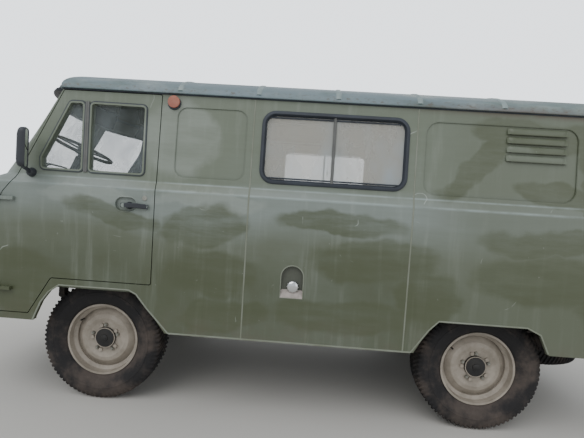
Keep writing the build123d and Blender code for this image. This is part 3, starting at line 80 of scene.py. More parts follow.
def addNode(tree, kind, inputs=None, output=0, **settings):
    # an input is a number, a hex colour or another node's output
    node = tree.nodes.new(kind)
    for name, value in settings.items():
        setattr(node, name, value)
    for socket, item in (inputs or {}).items():
        if isinstance(item, bpy.types.NodeSocket):
            tree.links.new(item, node.inputs[socket])
        else:
            node.inputs[socket].default_value = hexColour(item) if isinstance(item, str) else item
    return node.outputs[output]


def newMaterial(name, roughness, metallic=0.0, ior=None, **sockets):
    material = bpy.data.materials.new(name)
    material.use_nodes = True
    tree = material.node_tree
    shader = tree.nodes["Principled BSDF"]
    shader.inputs["Roughness"].default_value = roughness
    shader.inputs["Metallic"].default_value = metallic
    if ior:
        shader.inputs["IOR"].default_value = ior
    for socket, value in sockets.items():
        shader.inputs[socket.replace("_", " ")].default_value = value
    place = addNode(tree, "ShaderNodeTexCoord", output="Object")
    return material, tree, shader, place


def noisePattern(tree, place, scale, detail=4, rough=0.6, stretch=None, low=0.0, high=1.0):
    if stretch:
        place = addNode(tree, "ShaderNodeMapping", {"Vector": place, "Scale": stretch})
    field = addNode(tree, "ShaderNodeTexNoise",
                    {"Vector": place, "Scale": scale, "Detail": detail, "Roughness": rough}, "Fac")
    return addNode(tree, "ShaderNodeMapRange", {"Value": field, "From Min": low, "From Max": high},
                   interpolation_type="SMOOTHSTEP")


def layColour(tree, under, over, cover, share=1.0):
    # one coat over another, as thick as its cover and its share say
    cover = addNode(tree, "ShaderNodeMath", {0: cover, 1: share}, operation="MULTIPLY")
    return addNode(tree, "ShaderNodeMix", {0: cover, 6: under, 7: over}, 2, data_type="RGBA")


# Hand-brushed satin enamel: paler above, darker towards the bottom, with olive touch-up patches
enamel = {
    "upper": "6C7465",
    "shoulder": "7F8883",
    "bleached": "9AA19A",
    "middle": "5E6454",
    "lower": "4F5541",
    "patch": "4A5038",
    "roofTop": "71828A",
    "roofDark": "4D6058",
    "chalk": "B4BBB4",
    # ridge: the pale blue-grey of a painted highlight along the belt's two folds
    "ridge": "98A5A3",
    "rust": "614A40",
    "dirt": "5B5345",
    "gloss": (0.34, 0.52),
    "roofGloss": (0.36, 0.56),
}
# How thick each coat or mark lies, from 0 to 1
coats = {"sunBleach": 0.22, "brushMarks": 0.14, "rainLines": 0.13, "paleSpots": 0.55, "plainRear": 0.62,
         "beltHighlight": 0.75, "roofBlotches": 0.75, "roofChalk": 0.6, "roofRear": 0.5, "gutterDirt": 0.7,
         "splash": 0.5, "scratches": 0.55, "rust": 0.7}
# The body's colour by height in metres
bodyStops = ((0.48, "lower"), (0.85, "lower"), (1.05, "middle"), (1.22, "shoulder"), (1.31, "shoulder"),
             (1.40, "upper"), (1.87, "upper"))
roofStops = ((1.87, "roofTop"), (2.06, "roofTop"))
# Columns of the brushed patches: x, height, half length, half height, turn
paintPatches = (
    (1.12, 1.16, 0.29, 0.070, 0.28),
    (0.60, 1.13, 0.26, 0.12, -0.25),
    (0.50, 0.86, 0.30, 0.14, 0.05),
    (0.44, 0.62, 0.26, 0.09, -0.1),
    (-0.24, 1.19, 0.36, 0.075, 0.05),
    (-0.42, 0.98, 0.34, 0.12, -0.1),
    (-0.25, 0.66, 0.42, 0.10, -0.05),
    (-0.98, 1.58, 0.32, 0.085, 2.3),
    (-1.18, 1.74, 0.24, 0.085, 0.1),
    (-1.44, 1.72, 0.32, 0.10, 0.0),
    (-1.42, 1.42, 0.26, 0.06, 0.05),
    (-1.62, 1.56, 0.07, 0.26, 0.0),
    (1.62, 0.72, 0.34, 0.20, 0.1),
    (-1.85, 0.80, 0.26, 0.14, 0.0),
    (-1.50, 1.16, 0.50, 0.085, -0.04),
    (-1.38, 0.93, 0.44, 0.15, 0.06),
    (-0.72, 0.80, 0.20, 0.16, 0.1),
)
palePatches = (
    (0.75, 1.60, 0.24, 0.22, 0.0),
    (1.27, 1.27, 0.28, 0.05, 0.0),
    (0.55, 1.27, 0.34, 0.05, 0.0),
)


def bandAround(tree, value, centre, reach):
    # 1 at the centre, falling to 0 at the reach on both sides
    gap = addNode(tree, "ShaderNodeMath", {0: value, 1: centre}, operation="SUBTRACT")
    gap = addNode(tree, "ShaderNodeMath", {0: gap}, operation="ABSOLUTE")
    return addNode(tree, "ShaderNodeMapRange", {"Value": gap, "From Min": reach, "From Max": 0.0},
                   interpolation_type="SMOOTHSTEP")


def heightRamp(tree, height, stops):
    low, high = stops[0][0], stops[-1][0]
    share = addNode(tree, "ShaderNodeMapRange", {"Value": height, "From Min": low, "From Max": high})
    colour = addNode(tree, "ShaderNodeValToRGB", {"Fac": share})
    ramp = colour.node.color_ramp
    while len(ramp.elements) < len(stops):
        ramp.elements.new(0.5)
    for element, (level, coat) in zip(ramp.elements, stops):
        element.position = (level - low) / (high - low)
        element.color = hexColour(enamel[coat])
    return colour


def patchCover(tree, place, spots):
    # ovals pushed out of shape by the painter's hand, with streaky edges
    shift = place
    for scale, reachX, reachZ in ((2.6, 0.30, 0.20), (9.0, 0.10, 0.05)):
        wander = addNode(tree, "ShaderNodeTexNoise",
                         {"Vector": place, "Scale": scale, "Detail": 3.0, "Roughness": 0.55}, "Color")
        shift = addNode(tree, "ShaderNodeVectorMath", {0: wander, 1: (reachX, 0.0, reachZ), 2: shift},
                        operation="MULTIPLY_ADD")
    flat = addNode(tree, "ShaderNodeVectorMath", {0: shift, 1: (1.0, 0.0, 1.0), 2: (-0.20, 0.0, -0.125)},
                   operation="MULTIPLY_ADD")
    total = None
    for x, z, halfX, halfZ, turn in spots:
        local = addNode(tree, "ShaderNodeMapping",
                        {"Vector": flat, "Location": (x, 0, z), "Rotation": (0, -turn, 0),
                         "Scale": (halfX, 1, halfZ)}, vector_type="TEXTURE")
        reach = addNode(tree, "ShaderNodeVectorMath", {0: local}, "Value", operation="LENGTH")
        inside = addNode(tree, "ShaderNodeMapRange", {"Value": reach, "From Min": 1.12, "From Max": 0.84},
                         interpolation_type="SMOOTHSTEP")
        if total is not None:
            inside = addNode(tree, "ShaderNodeMath", {0: total, 1: inside}, operation="MAXIMUM")
        total = inside
    thin = noisePattern(tree, place, 7, 5, 0.7, (0.35, 0.35, 2.0), 0.25, 0.7)
    thin = addNode(tree, "ShaderNodeMath", {0: thin, 1: 0.45, 2: 0.35}, operation="MULTIPLY_ADD")
    return addNode(tree, "ShaderNodeMath", {0: total, 1: thin}, operation="MULTIPLY")


def bodyCoats(tree, place, colour, x, z):
    # pale spots, a plainer rear, the brushed patches, and a painted highlight along the belt's two folds,
    # broken up in places
    colour = layColour(tree, colour, enamel["bleached"], patchCover(tree, place, palePatches),
                       coats["paleSpots"])
    rearward = addNode(tree, "ShaderNodeMapRange", {"Value": x, "From Min": -0.55, "From Max": -1.05},
                       interpolation_type="SMOOTHSTEP")
    colour = layColour(tree, colour, enamel["middle"], rearward, coats["plainRear"])
    cover = patchCover(tree, place, paintPatches)
    colour = layColour(tree, colour, enamel["patch"], cover)
    # painted highlight: pale lines along the belt's two folds, broken up in places by noise
    folds = addNode(tree, "ShaderNodeMath",
                    {0: bandAround(tree, z, 1.312, 0.012), 1: bandAround(tree, z, 1.359, 0.009)},
                    operation="MAXIMUM")
    patchiness = noisePattern(tree, place, 5, 4, 0.7, (0.5, 0.5, 1), 0.3, 0.65)
    folds = addNode(tree, "ShaderNodeMath", {0: folds, 1: patchiness}, operation="MULTIPLY")
    return layColour(tree, colour, enamel["ridge"], folds, coats["beltHighlight"]), cover


def roofCoats(tree, place, colour, x, z):
    # green blotches, chalk streaks across, a darker rear, and dirt held at the gutter
    cover = noisePattern(tree, place, 2.3, 5, 0.65, (0.5, 1.0, 1.0), 0.48, 0.66)
    colour = layColour(tree, colour, enamel["roofDark"], cover, coats["roofBlotches"])
    streaks = noisePattern(tree, place, 5, 6, 0.7, (0.35, 1.0, 1.0), 0.50, 0.80)
    colour = layColour(tree, colour, enamel["chalk"], streaks, coats["roofChalk"])
    back = addNode(tree, "ShaderNodeMapRange", {"Value": x, "From Min": -0.6, "From Max": -1.6})
    colour = layColour(tree, colour, enamel["roofDark"], back, coats["roofRear"])
    specks = noisePattern(tree, place, 60, 4, 0.7, (0.6, 1, 1), 0.50, 0.66)
    specks = addNode(tree, "ShaderNodeMath", {0: bandAround(tree, z, 1.892, 0.030), 1: specks},
                     operation="MULTIPLY")
    return layColour(tree, colour, enamel["dirt"], specks, coats["gutterDirt"]), cover


def scratches(tree, place):
    # hair-thin marks lie where a slow field crosses its middle, kept to a few places
    line = addNode(tree, "ShaderNodeTexNoise",
                   {"Vector": place, "Scale": 3.1, "Detail": 2.0, "Roughness": 0.4}, "Fac")
    patchiness = noisePattern(tree, place, 4.1, 3, 0.5, (1, 1, 1.7), 0.62, 0.68)
    threads = addNode(tree, "ShaderNodeMath", {0: bandAround(tree, line, 0.5, 0.0032), 1: patchiness},
                      operation="MULTIPLY")
    nicks = noisePattern(tree, place, 45, 2, 0.5, None, 0.755, 0.79)
    nicks = addNode(tree, "ShaderNodeMath", {0: nicks, 1: 0.3}, operation="MULTIPLY")
    return addNode(tree, "ShaderNodeMath", {0: threads, 1: nicks}, operation="MAXIMUM")


def eavesRust(tree, place, x, z):
    # rust creeps from the gutter, more of it towards the rear
    cover = noisePattern(tree, place, 10, 5, 0.7, (0.5, 1, 1), 0.25, 0.6)
    fades = ((z, 1.83, 1.868, "SMOOTHSTEP"), (x, -0.3, -1.5, "LINEAR"), (z, 1.915, 1.880, "LINEAR"))
    for socket, start, end, kind in fades:
        fade = addNode(tree, "ShaderNodeMapRange", {"Value": socket, "From Min": start, "From Max": end},
                       interpolation_type=kind)
        cover = addNode(tree, "ShaderNodeMath", {0: cover, 1: fade}, operation="MULTIPLY")
    return cover


def satinEnamel(name, stops, addCoats, gloss):
    # satin: a soft wide highlight, milky where the sun has chalked it, glossier on fresh brushwork
    material, tree, shader, place = newMaterial(name, 0.42, ior=1.5, Specular_IOR_Level=0.5)
    x = addNode(tree, "ShaderNodeSeparateXYZ", {"Vector": place}, "X")
    z = addNode(tree, "ShaderNodeSeparateXYZ", {"Vector": place}, "Z")
    sway = noisePattern(tree, place, 1.2, 3, 0.5)
    lowered = addNode(tree, "ShaderNodeMath", {0: z, 1: -0.12}, operation="ADD")
    drift = addNode(tree, "ShaderNodeMath", {0: sway, 1: 0.24, 2: lowered}, operation="MULTIPLY_ADD")
    colour = heightRamp(tree, drift, stops)
    cloud = noisePattern(tree, place, 1.8, 5, 0.6, None, 0.3, 0.7)  # bleaching over half a metre
    colour = layColour(tree, colour, enamel["shoulder"], cloud, coats["sunBleach"])
    brush = noisePattern(tree, place, 16, 3, 0.7, (0.25, 0.25, 2.2), 0.2, 0.8)  # brush strokes 60 mm wide
    colour = layColour(tree, colour, enamel["patch"], brush, coats["brushMarks"])
    rain = noisePattern(tree, place, 14, 3, 0.6, (1.6, 1.6, 0.12), 0.5, 0.8)  # rain lines 40 mm apart
    colour = layColour(tree, colour, enamel["chalk"], rain, coats["rainLines"])
    colour, cover = addCoats(tree, place, colour, x, z)
    low = addNode(tree, "ShaderNodeMapRange", {"Value": z, "From Min": 0.70, "From Max": 0.47},
                  interpolation_type="SMOOTHSTEP")
    mud = noisePattern(tree, place, 7, 6, 0.75, None, 0.35, 0.75)  # wheel splash in 140 mm clouds
    splash = addNode(tree, "ShaderNodeMath", {0: low, 1: mud}, operation="MULTIPLY")
    colour = layColour(tree, colour, enamel["dirt"], splash, coats["splash"])
    colour = layColour(tree, colour, enamel["chalk"], scratches(tree, place), coats["scratches"])
    colour = layColour(tree, colour, enamel["rust"], eavesRust(tree, place, x, z), coats["rust"])
    tree.links.new(colour, shader.inputs["Base Color"])
    dull = addNode(tree, "ShaderNodeMath", {0: splash, 1: 0.4, 2: 0.62}, operation="MULTIPLY_ADD")
    dull = addNode(tree, "ShaderNodeMath", {0: cover, 1: -0.5, 2: dull}, operation="MULTIPLY_ADD")
    rough = addNode(tree, "ShaderNodeMapRange", {"Value": dull, "To Min": gloss[0], "To Max": gloss[1]})
    tree.links.new(rough, shader.inputs["Roughness"])
    ripple = noisePattern(tree, place, 3.0, 2, 0.4)  # panels drum and wave over 300 mm
    # real bristle marks are finer, drawn 9 mm apart
    strokes = noisePattern(tree, place, 110, 2, 0.6, (0.1, 0.1, 1.0))
    waves = addNode(tree, "ShaderNodeBump", {"Height": ripple, "Distance": 0.006, "Strength": 0.5})
    bristles = addNode(tree, "ShaderNodeBump",
                       {"Height": strokes, "Distance": 0.0004, "Strength": 0.35, "Normal": waves})
    tree.links.new(bristles, shader.inputs["Normal"])
    return material


def plainFinish(name, base, second, roughness, metallic=0.0, grain=300, depth=0.0002, ior=None, mottling=6,
                share=0.5, spread=0.12, stretch=None, **sockets):
    # mottling over some centimetres, and a grain that is drawn coarser than the real one, so that it shows
    material, tree, shader, place = newMaterial(name, roughness, metallic, ior, **sockets)
    patchy = noisePattern(tree, place, mottling, 5, 0.65, None, 0.3, 0.72)
    tree.links.new(layColour(tree, base, second, patchy, share), shader.inputs["Base Color"])
    fine = noisePattern(tree, place, grain, 3, 0.6, stretch)
    rough = addNode(tree, "ShaderNodeMapRange",
                    {"Value": fine, "To Min": max(roughness - spread, 0.02),
                     "To Max": min(roughness + spread, 1.0)})
    tree.links.new(rough, shader.inputs["Roughness"])
    bump = addNode(tree, "ShaderNodeBump", {"Height": fine, "Distance": depth, "Strength": 0.6})
    tree.links.new(bump, shader.inputs["Normal"])
    return material


def dustyTyre(name):
    # vulcanised natural rubber, greyed by age and flat to the eye, with road dust dried on in 180 mm clouds
    material, tree, shader, place = newMaterial(name, 0.86, ior=1.52, Specular_IOR_Level=0.28)
    grain = noisePattern(tree, place, 240, 4, 0.7)
    black = layColour(tree, "201F20", "302F30", grain)
    dust = layColour(tree, "4A433F", "72655C", noisePattern(tree, place, 30, 5, 0.7))
    cloud = noisePattern(tree, place, 5.5, 4, 0.6, None, 0.42, 0.64)
    tree.links.new(layColour(tree, black, dust, cloud, 0.52), shader.inputs["Base Color"])
    bump = addNode(tree, "ShaderNodeBump", {"Height": grain, "Distance": 0.0006, "Strength": 0.5})
    tree.links.new(bump, shader.inputs["Normal"])
    return material


def clearGlass(name, tint, roughness, paleCover):
    # float glass with road film and a painted reflection of sky and buildings: clear, and milky where the
    # film and the painted reflection lie in 250 mm clouds
    material, tree, shader, place = newMaterial(name, roughness, ior=1.5, Transmission_Weight=0.0, Alpha=0.2)
    film = noisePattern(tree, place, 4, 4, 0.6, (1, 1, 0.5), 0.3, 0.8)
    # painted reflection: the pale tint and the bluish second colour, blended over the glass, stand for
    # reflected sky and buildings as well as road film
    tree.links.new(layColour(tree, tint, "BCC8CE", film), shader.inputs["Base Color"])
    cover = addNode(tree, "ShaderNodeMapRange", {"Value": film, "To Min": paleCover, "To Max": paleCover + 0.14})
    tree.links.new(cover, shader.inputs["Alpha"])
    material.surface_render_method = "BLENDED"
    return material


finishes = {
    "body": satinEnamel("brushed_satin_enamel_on_steel", bodyStops, bodyCoats, enamel["gloss"]),
    "roof": satinEnamel("sun_bleached_roof_enamel", roofStops, roofCoats, enamel["roofGloss"]),
    # sprayed once and never polished: even and slightly dull
    "inside": plainFinish("sprayed_interior_enamel", "666C5B", "545A4B", 0.5, ior=1.5, grain=90),
    # enamel pooled over flanges and joints: paler where it is rubbed
    "seam": plainFinish("brushed_enamel_over_weld_flange", "7F8478", "5C6048", 0.48, ior=1.5, grain=80),
    "ribs": plainFinish("chalked_enamel_over_roof_joint", "7B8A8B", "93A09E", 0.5, ior=1.5, grain=40,
                        mottling=14, share=0.8),
    "chipped": plainFinish("chipped_primer_on_steel", "A99F9A", "6E6A5E", 0.6, ior=1.5, grain=90,
                           mottling=24, share=0.6),
    # dusty enamels of the chassis: matt, with brown dust in the hollows
    "wheel": plainFinish("dusty_enamel_on_pressed_wheel_steel", "A39A8E", "7B7367", 0.6, ior=1.5, grain=120,
                         mottling=9, share=0.75),
    "blackSteel": plainFinish("black_chassis_enamel_with_dust", "1F1E1D", "4A4139", 0.62, ior=1.5, grain=90,
                              mottling=8, share=0.7),
    "bumper": plainFinish("worn_grey_enamel_on_channel_steel", "55584E", "3B3D36", 0.5, ior=1.5, grain=90),
    "cap": plainFinish("black_enamel_on_hub_cap", "17181A", "34302B", 0.4, ior=1.5, grain=160, mottling=20),
    # metals: the rougher the making, the wider the highlight
    "cast": plainFinish("sand_cast_iron_with_oil_film", "4A4744", "2A2725", 0.55, 0.55, grain=140,
                        depth=0.0008),
    "steel": plainFinish("brushed_mild_steel", "8C8C88", "6E6C68", 0.38, 1.0, grain=200,
                         stretch=(0.1, 1, 1)),
    "zinc": plainFinish("zinc_plated_pressed_steel", "A3A39B", "7F7B70", 0.42, 0.85, grain=200),
    "bar": plainFinish("tarnished_steel_channel", "6B6C6A", "52524F", 0.5, 0.3, grain=160, mottling=14),
    "chrome": plainFinish("polished_chrome_plate", "D9DADB", "B5B7B8", 0.12, 1.0, grain=60, spread=0.06,
                          depth=0.00005),
    "reflector": plainFinish("vapour_aluminised_reflector", "E4E4E0", "CFCFCB", 0.1, 1.0, grain=60,
                             spread=0.04),
    "mirror": plainFinish("silvered_mirror_glass", "E8EBEC", "DDE0E1", 0.03, 1.0, grain=10, spread=0.02,
                          depth=0.00001),
    # rubbers and plastics: weathered grey-blue outside, glossy black on the handles
    "rubber": plainFinish("extruded_weathered_rubber", "2A2F37", "3C434D", 0.6, ior=1.52, grain=260,
                          spread=0.1),
    "mat": plainFinish("ribbed_moulded_floor_rubber", "2E2F2E", "4A453E", 0.75, ior=1.52, grain=60,
                       mottling=7),
    "tyre": dustyTyre("vulcanised_rubber_with_dried_dust"),
    "bakelite": plainFinish("moulded_black_phenolic", "16171A", "26282C", 0.3, ior=1.6, grain=60,
                            mottling=12),
    "plastic": plainFinish("moulded_dark_grey_plastic", "2A2D33", "3B3E44", 0.5, ior=1.5, grain=160),
    "vinyl": plainFinish("embossed_dark_vinyl_cloth", "24282E", "31363D", 0.55, ior=1.47, grain=420,
                         depth=0.0005, mottling=5),
    # lamps: light sinks a little into the acrylics, and the lens is pressed in upright flutes
    "amber": plainFinish("moulded_faded_amber_acrylic", "9A5B4C", "B27966", 0.32, ior=1.49, grain=40,
                         depth=0.0008, share=0.8, Subsurface_Weight=0.15),
    "red": plainFinish("moulded_red_acrylic", "8E1D18", "6B1512", 0.22, ior=1.49, grain=40,
                       Subsurface_Weight=0.1),
    "lens": plainFinish("pressed_headlamp_glass", "AEB6B6", "C4CBCA", 0.08, ior=1.52, grain=90, Alpha=0.34,
                        stretch=(1, 6, 0.6), depth=0.002),
    "glass": clearGlass("dusty_float_glass_with_painted_reflection", "9FA9A6", 0.02, 0.07),
    "filmAndReflectionGlass": clearGlass("sliding_pane_glass_with_film_and_painted_reflection", "D6D3C8", 0.06, 0.34),
}
print("materials made")


# Mesh tools
def smoothData(name, mesh, smoothBelow):
    # the finished mesh: smooth, but for edges that turn by more than the limit in degrees
    mesh.normal_update()
    limit = math.radians(smoothBelow)
    for face in mesh.faces:
        face.smooth = True
    for edge in mesh.edges:
        edge.smooth = edge.calc_face_angle(0) < limit
    data = bpy.data.meshes.new(name)
    mesh.to_mesh(data)
    mesh.free()
    return data


def finishPiece(name, mesh, finish, body="van_body", smoothBelow=40):
    return placePiece(name, smoothData(name, mesh, smoothBelow), finish, body)


def placePiece(name, data, finish, body="van_body", place=None):
    piece = bpy.data.objects.new(name, data)
    scene.collection.objects.link(piece)
    if not data.materials:
        data.materials.append(finishes[finish])
    if place is not None:
        piece.matrix_world = place
    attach(piece, body)
    return piece


def bridge(mesh, rings):
    # faces between each ring of points and the next
    for low, high in zip(rings, rings[1:]):
        for k in range(len(low)):
            after = (k + 1) % len(low)
            mesh.faces.new((low[k], low[after], high[after], high[k]))


def skinInto(mesh, rings):
    # a closed skin over rings of points, with both ends filled
    bridge(mesh, rings)
    mesh.faces.new(rings[0])
    mesh.faces.new(rings[-1])
    bmesh.ops.recalc_face_normals(mesh, faces=mesh.faces)


def sweepInto(mesh, path, outs, section, closed=True):
    # section points are (across, out); the path keeps its outward side towards outs
    rings = []
    count = len(path)
    for i, point in enumerate(path):
        before = path[i - 1] if closed or i else path[0]
        after = path[(i + 1) % count] if closed or i + 1 < count else path[-1]
        along = (Vector(after) - Vector(before)).normalized()
        out = Vector(outs[i] if isinstance(outs, list) else outs)
        out = (out - along * out.dot(along)).normalized()
        across = along.cross(out)
        rings.append([mesh.verts.new(Vector(point) + across * a + out * b) for a, b in section])
    if closed:
        bridge(mesh, rings + rings[:1])
        bmesh.ops.recalc_face_normals(mesh, faces=mesh.faces)
    else:
        skinInto(mesh, rings)


def sweepPiece(name, path, outs, section, finish, body="van_body", smoothBelow=40, closed=True):
    mesh = bmesh.new()
    sweepInto(mesh, path, outs, section, closed)
    return finishPiece(name, mesh, finish, body, smoothBelow)


def turnPiece(name, profile, centre, axis, steps, finish, body="van_body", smoothBelow=40):
    mesh = bmesh.new()
    turnInto(mesh, profile, centre, axis, steps)
    return finishPiece(name, mesh, finish, body, smoothBelow)


def turnInto(mesh, profile, centre, axis, steps=48, start=0.0):
    # profile points are (radius, along the axis)
    axis = Vector(axis).normalized()
    helper = Vector((0, 0, 1)) if abs(axis.z) < 0.9 else Vector((1, 0, 0))
    first = axis.cross(helper).normalized()
    second = axis.cross(first)
    rings = []
    for radius, along in profile:
        base = Vector(centre) + axis * along
        if radius < 1e-6:
            rings.append([mesh.verts.new(base)])
            continue
        turns = [start + 2 * math.pi * k / steps for k in range(steps)]
        rings.append([mesh.verts.new(base + (first * math.cos(t) + second * math.sin(t)) * radius)
                      for t in turns])
    for low, high in zip(rings, rings[1:]):
        for k in range(steps):
            if len(low) == 1 and len(high) == 1:
                continue
            if len(low) == 1:
                mesh.faces.new((low[0], high[k], high[(k + 1) % steps]))
            elif len(high) == 1:
                mesh.faces.new((low[k], low[(k + 1) % steps], high[0]))
            else:
                mesh.faces.new((low[k], low[(k + 1) % steps], high[(k + 1) % steps], high[k]))
    for ring, flip in ((rings[0], True), (rings[-1], False)):
        if len(ring) > 1:
            mesh.faces.new(list(reversed(ring)) if flip else ring)
    bmesh.ops.recalc_face_normals(mesh, faces=mesh.faces)


def blockInto(mesh, low, high, bevel=0.002, turn=None):
    low, high = Vector(low), Vector(high)
    block = bmesh.new()
    bmesh.ops.create_cube(block, size=1)
    centre = (low + high) / 2
    for vert in block.verts:
        vert.co = Vector(vert.co[i] * (high[i] - low[i]) for i in range(3))
    bmesh.ops.bevel(block, geom=list(block.edges), offset=bevel, segments=2, affect="EDGES", profile=0.7)
    if turn:
        bmesh.ops.transform(block, matrix=turn, verts=block.verts)
    bmesh.ops.translate(block, vec=centre, verts=block.verts)
    data = bpy.data.meshes.new("block")
    block.to_mesh(data)
    block.free()
    mesh.from_mesh(data)
    bpy.data.meshes.remove(data)


def circleSection(radius, steps=10):
    turns = [2 * math.pi * k / steps for k in range(steps)]
    return [(radius * math.cos(turn), radius * math.sin(turn)) for turn in turns]


def bothSides(*left):
    # a section from its left half, mirrored; a point on the middle line comes once
    return [*left, *[(-across, out) for across, out in reversed(left) if across]]


def rounded(corners, radius, steps=6):
    # a closed outline with its corners rounded, as (u, v) points
    outline = []
    count = len(corners)
    for i, corner in enumerate(corners):
        here = Vector(corner)
        back = (Vector(corners[i - 1]) - here).normalized()
        ahead = (Vector(corners[(i + 1) % count]) - here).normalized()
        half = back.angle(ahead) / 2
        reach = radius / math.tan(half)
        centre = here + (back + ahead).normalized() * (radius / math.sin(half))
        start = here + back * reach - centre
        end = here + ahead * reach - centre
        for k in range(steps + 1):
            mixed = start.slerp(end, k / steps)
            outline.append(tuple(centre + mixed.normalized() * radius))
    return outline


def rectangle(lowU, highU, lowV, highV):
    return [(lowU, lowV), (highU, lowV), (highU, highV), (lowU, highV)]


def dense(outline, longest=0.08):
    points = []
    for i, point in enumerate(outline):
        after = outline[(i + 1) % len(outline)]
        gap = math.dist(point, after)
        parts = max(1, math.ceil(gap / longest))
        points += [tuple(p + (q - p) * k / parts for p, q in zip(point, after)) for k in range(parts)]
    return points


# The body's own surfaces, as the CAD has them.
# Columns of levels: height, half width, nose ahead of the axle, nose corner's radius, tail's lean
levels = ((0.487, 0.958, 0.855, 0.250, 0.062), (0.860, 0.965, 0.925, 0.262, 0.060),
          (1.312, 0.970, 0.835, 0.270, 0.060), (1.360, 0.953, 0.792, 0.256, 0.072),
          (1.866, 0.925, 0.548, 0.218, 0.098))
tailEnd = -2.18
bow = 0.060  # how far the nose's middle stands ahead of its corners


def noseCircles(half, tip, corner):
    # the nose's wide circle, the corner circle's centre, and the place where the two meet
    radius = (half * half + bow * bow) / (2 * bow)
    centreX = tip - radius + math.sqrt((radius - corner) ** 2 - (half - corner) ** 2)
    return radius, centreX, (half - corner) * radius / (radius - corner)


def levelAt(z):
    for low, high in zip(levels, levels[1:]):
        if z <= high[0] or high is levels[-1]:
            share = (z - low[0]) / (high[0] - low[0])
            return [p + (q - p) * share for p, q in zip(low, high)]


# Above the belt the cab's front stands further back and is rounder in plan than the CAD's one loft
setBack = {"start": 1.312, "end": 1.360, "belt": 0.060, "eaves": 0.100, "beltBow": 0.040, "eavesBow": 0.190,
           "bend": 0.6, "clear": 0.005}
doorFront = ((0.0, 0.590), (1.180, 0.590), (1.255, 0.554), (1.338, 0.486), (1.866, 0.236))


def lerpTable(table, z):
    for low, high in zip(table, table[1:]):
        if z <= high[0]:
            return low[1] + (high[1] - low[1]) * (z - low[0]) / (high[0] - low[0])
    return table[-1][1]


def pulledX(x, y, z):
    edge = frontAxle + lerpTable(doorFront, z) + setBack["clear"]
    if z <= setBack["start"] or x <= edge:
        return x
    ramp = min(1.0, (z - setBack["start"]) / (setBack["end"] - setBack["start"]))
    share = min(1.0, max(0.0, (z - setBack["end"]) / (levels[-1][0] - setBack["end"])))
    level = levelAt(z)
    straight = setBack["belt"] + (setBack["eaves"] - setBack["belt"]) * share
    bow = setBack["beltBow"] + (setBack["eavesBow"] - setBack["beltBow"]) * share
    back = ramp * (straight + bow * min(1.0, abs(y) / level[1]) ** 2)
    reach = frontAxle + level[2] - edge
    along = (x - edge) / reach
    if along >= 1:
        return x - back
    bend = ramp * setBack["bend"]
    return edge + (reach - back) * ((1 - bend) * along + bend * along * along)


def sidePoint(x, z, out=0.0, side=1):
    return Vector((x, side * (levelAt(z)[1] + out), z))


def tailPoint(y, z, out=0.0):
    return Vector((tailEnd + levelAt(z)[4] - out, y, z))


def noseX(y, z):
    half, nose, corner = levelAt(z)[1:4]
    tip = frontAxle + nose
    bowRadius, centreX, tangentY = noseCircles(half, tip, corner)
    y = abs(y)
    if y <= tangentY:
        return pulledX(tip - bowRadius + math.sqrt(bowRadius**2 - y * y), y, z)
    return pulledX(centreX + math.sqrt(max(corner**2 - (y - half + corner) ** 2, 0.0)), y, z)


def nosePoint(y, z, out=0.0):
    point = Vector((noseX(y, z), y, z))
    return point + noseOut(y, z) * out


def noseOut(y, z):
    step = 0.004
    alongY = Vector((noseX(y + step, z) - noseX(y - step, z), 2 * step, 0))
    alongZ = Vector((noseX(y, z + step) - noseX(y, z - step), 0, 2 * step))
    return alongY.cross(alongZ).normalized()


# Finishes of the CAD nodes that stay, or that a copy takes its finish from
nodeFinishes = {
    "body": ["left_front_panel", "left_middle_panel", "left_rear_panel", "right_front_panel",
             "right_rear_panel", "front_panel", "rear_portal", "cab_door_left", "cab_door_right",
             "side_door", "rear_door_left", "rear_door_right"],
    "inside": ["floor", "partition", "dashboard", "engine_cover", "seat_boxes", "ward_benches"],
    "glass": ["cab_door_glass_left", "cab_door_glass_right"],
    "filmAndReflectionGlass": ["window_glass", "side_door_glass", "rear_door_glass_left", "rear_door_glass_right"],
    "blackSteel": ["chassis_frame", "leaf_springs", "shock_absorbers", "front_axle", "rear_axle",
                   "knuckle_left", "knuckle_right", "tie_rod", "propeller_shafts", "fuel_tanks",
                   "steering_column"],
    "bumper": ["front_bumper", "rear_bumper"],
    "cast": ["engine", "gearbox"],
    "steel": ["exhaust"],
    "wheel": ["rim_front_left", "rim_front_right", "rim_rear_left", "rim_rear_right"],
    "bakelite": ["steering_wheel"],
    "amber": ["amber_lamps"],
    "red": ["tail_lamps"],
}
for finish, names in nodeFinishes.items():
    for name in names:
        data = nodes[name].data
        data.materials.clear()
        data.materials.append(finishes[finish])


def pulledCopy(name, node, finish):
    # a copy of a node with the cab's set back, which stands for the node
    data = nodes[node].data.copy()
    for vert in data.vertices:
        vert.co.x = pulledX(*vert.co)
    piece = placePiece(name, data, finish)
    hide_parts(node)


pulledCopy("front_panel_set_back", "front_panel", "body")
pulledCopy("window_glass_set_back", "window_glass", "filmAndReflectionGlass")
print("CAD nodes finished")


# Tyres: lugs stand in two rows, half a pitch apart
tyreValues = {"lugs": 78, "cellsPerLug": 6, "gapFrom": 3, "depth": 0.009, "slant": 1.5, "grooveDepth": 0.8,
              "grooveMark": 0.25, "smoothBelow": 35}
# Columns: across, radius, share of the lug depth
tyreProfile = (
    (0.074, 0.218, 0), (0.076, 0.224, 0), (0.086, 0.229, 0), (0.092, 0.24, 0), (0.0985, 0.252, 0),
    (0.0995, 0.254, 0), (0.1045, 0.262, 0), (0.1095, 0.275, 0), (0.1115, 0.288, 0), (0.1118, 0.292, 0),
    (0.1133, 0.294, 0), (0.1133, 0.299, 0), (0.1112, 0.301, 0), (0.11, 0.315, 0), (0.108, 0.327, 0.3),
    (0.105, 0.338, 0.8), (0.1, 0.349, 1), (0.0945, 0.358, 1), (0.087, 0.3645, 1), (0.07, 0.3668, 1),
    (0.048, 0.3674, 1), (0.026, 0.3678, 1), (0.012, 0.368, 1), (0.009, 0.368, 1), (0.006, 0.368, 0.25),
    (0, 0.368, 0.25),
)


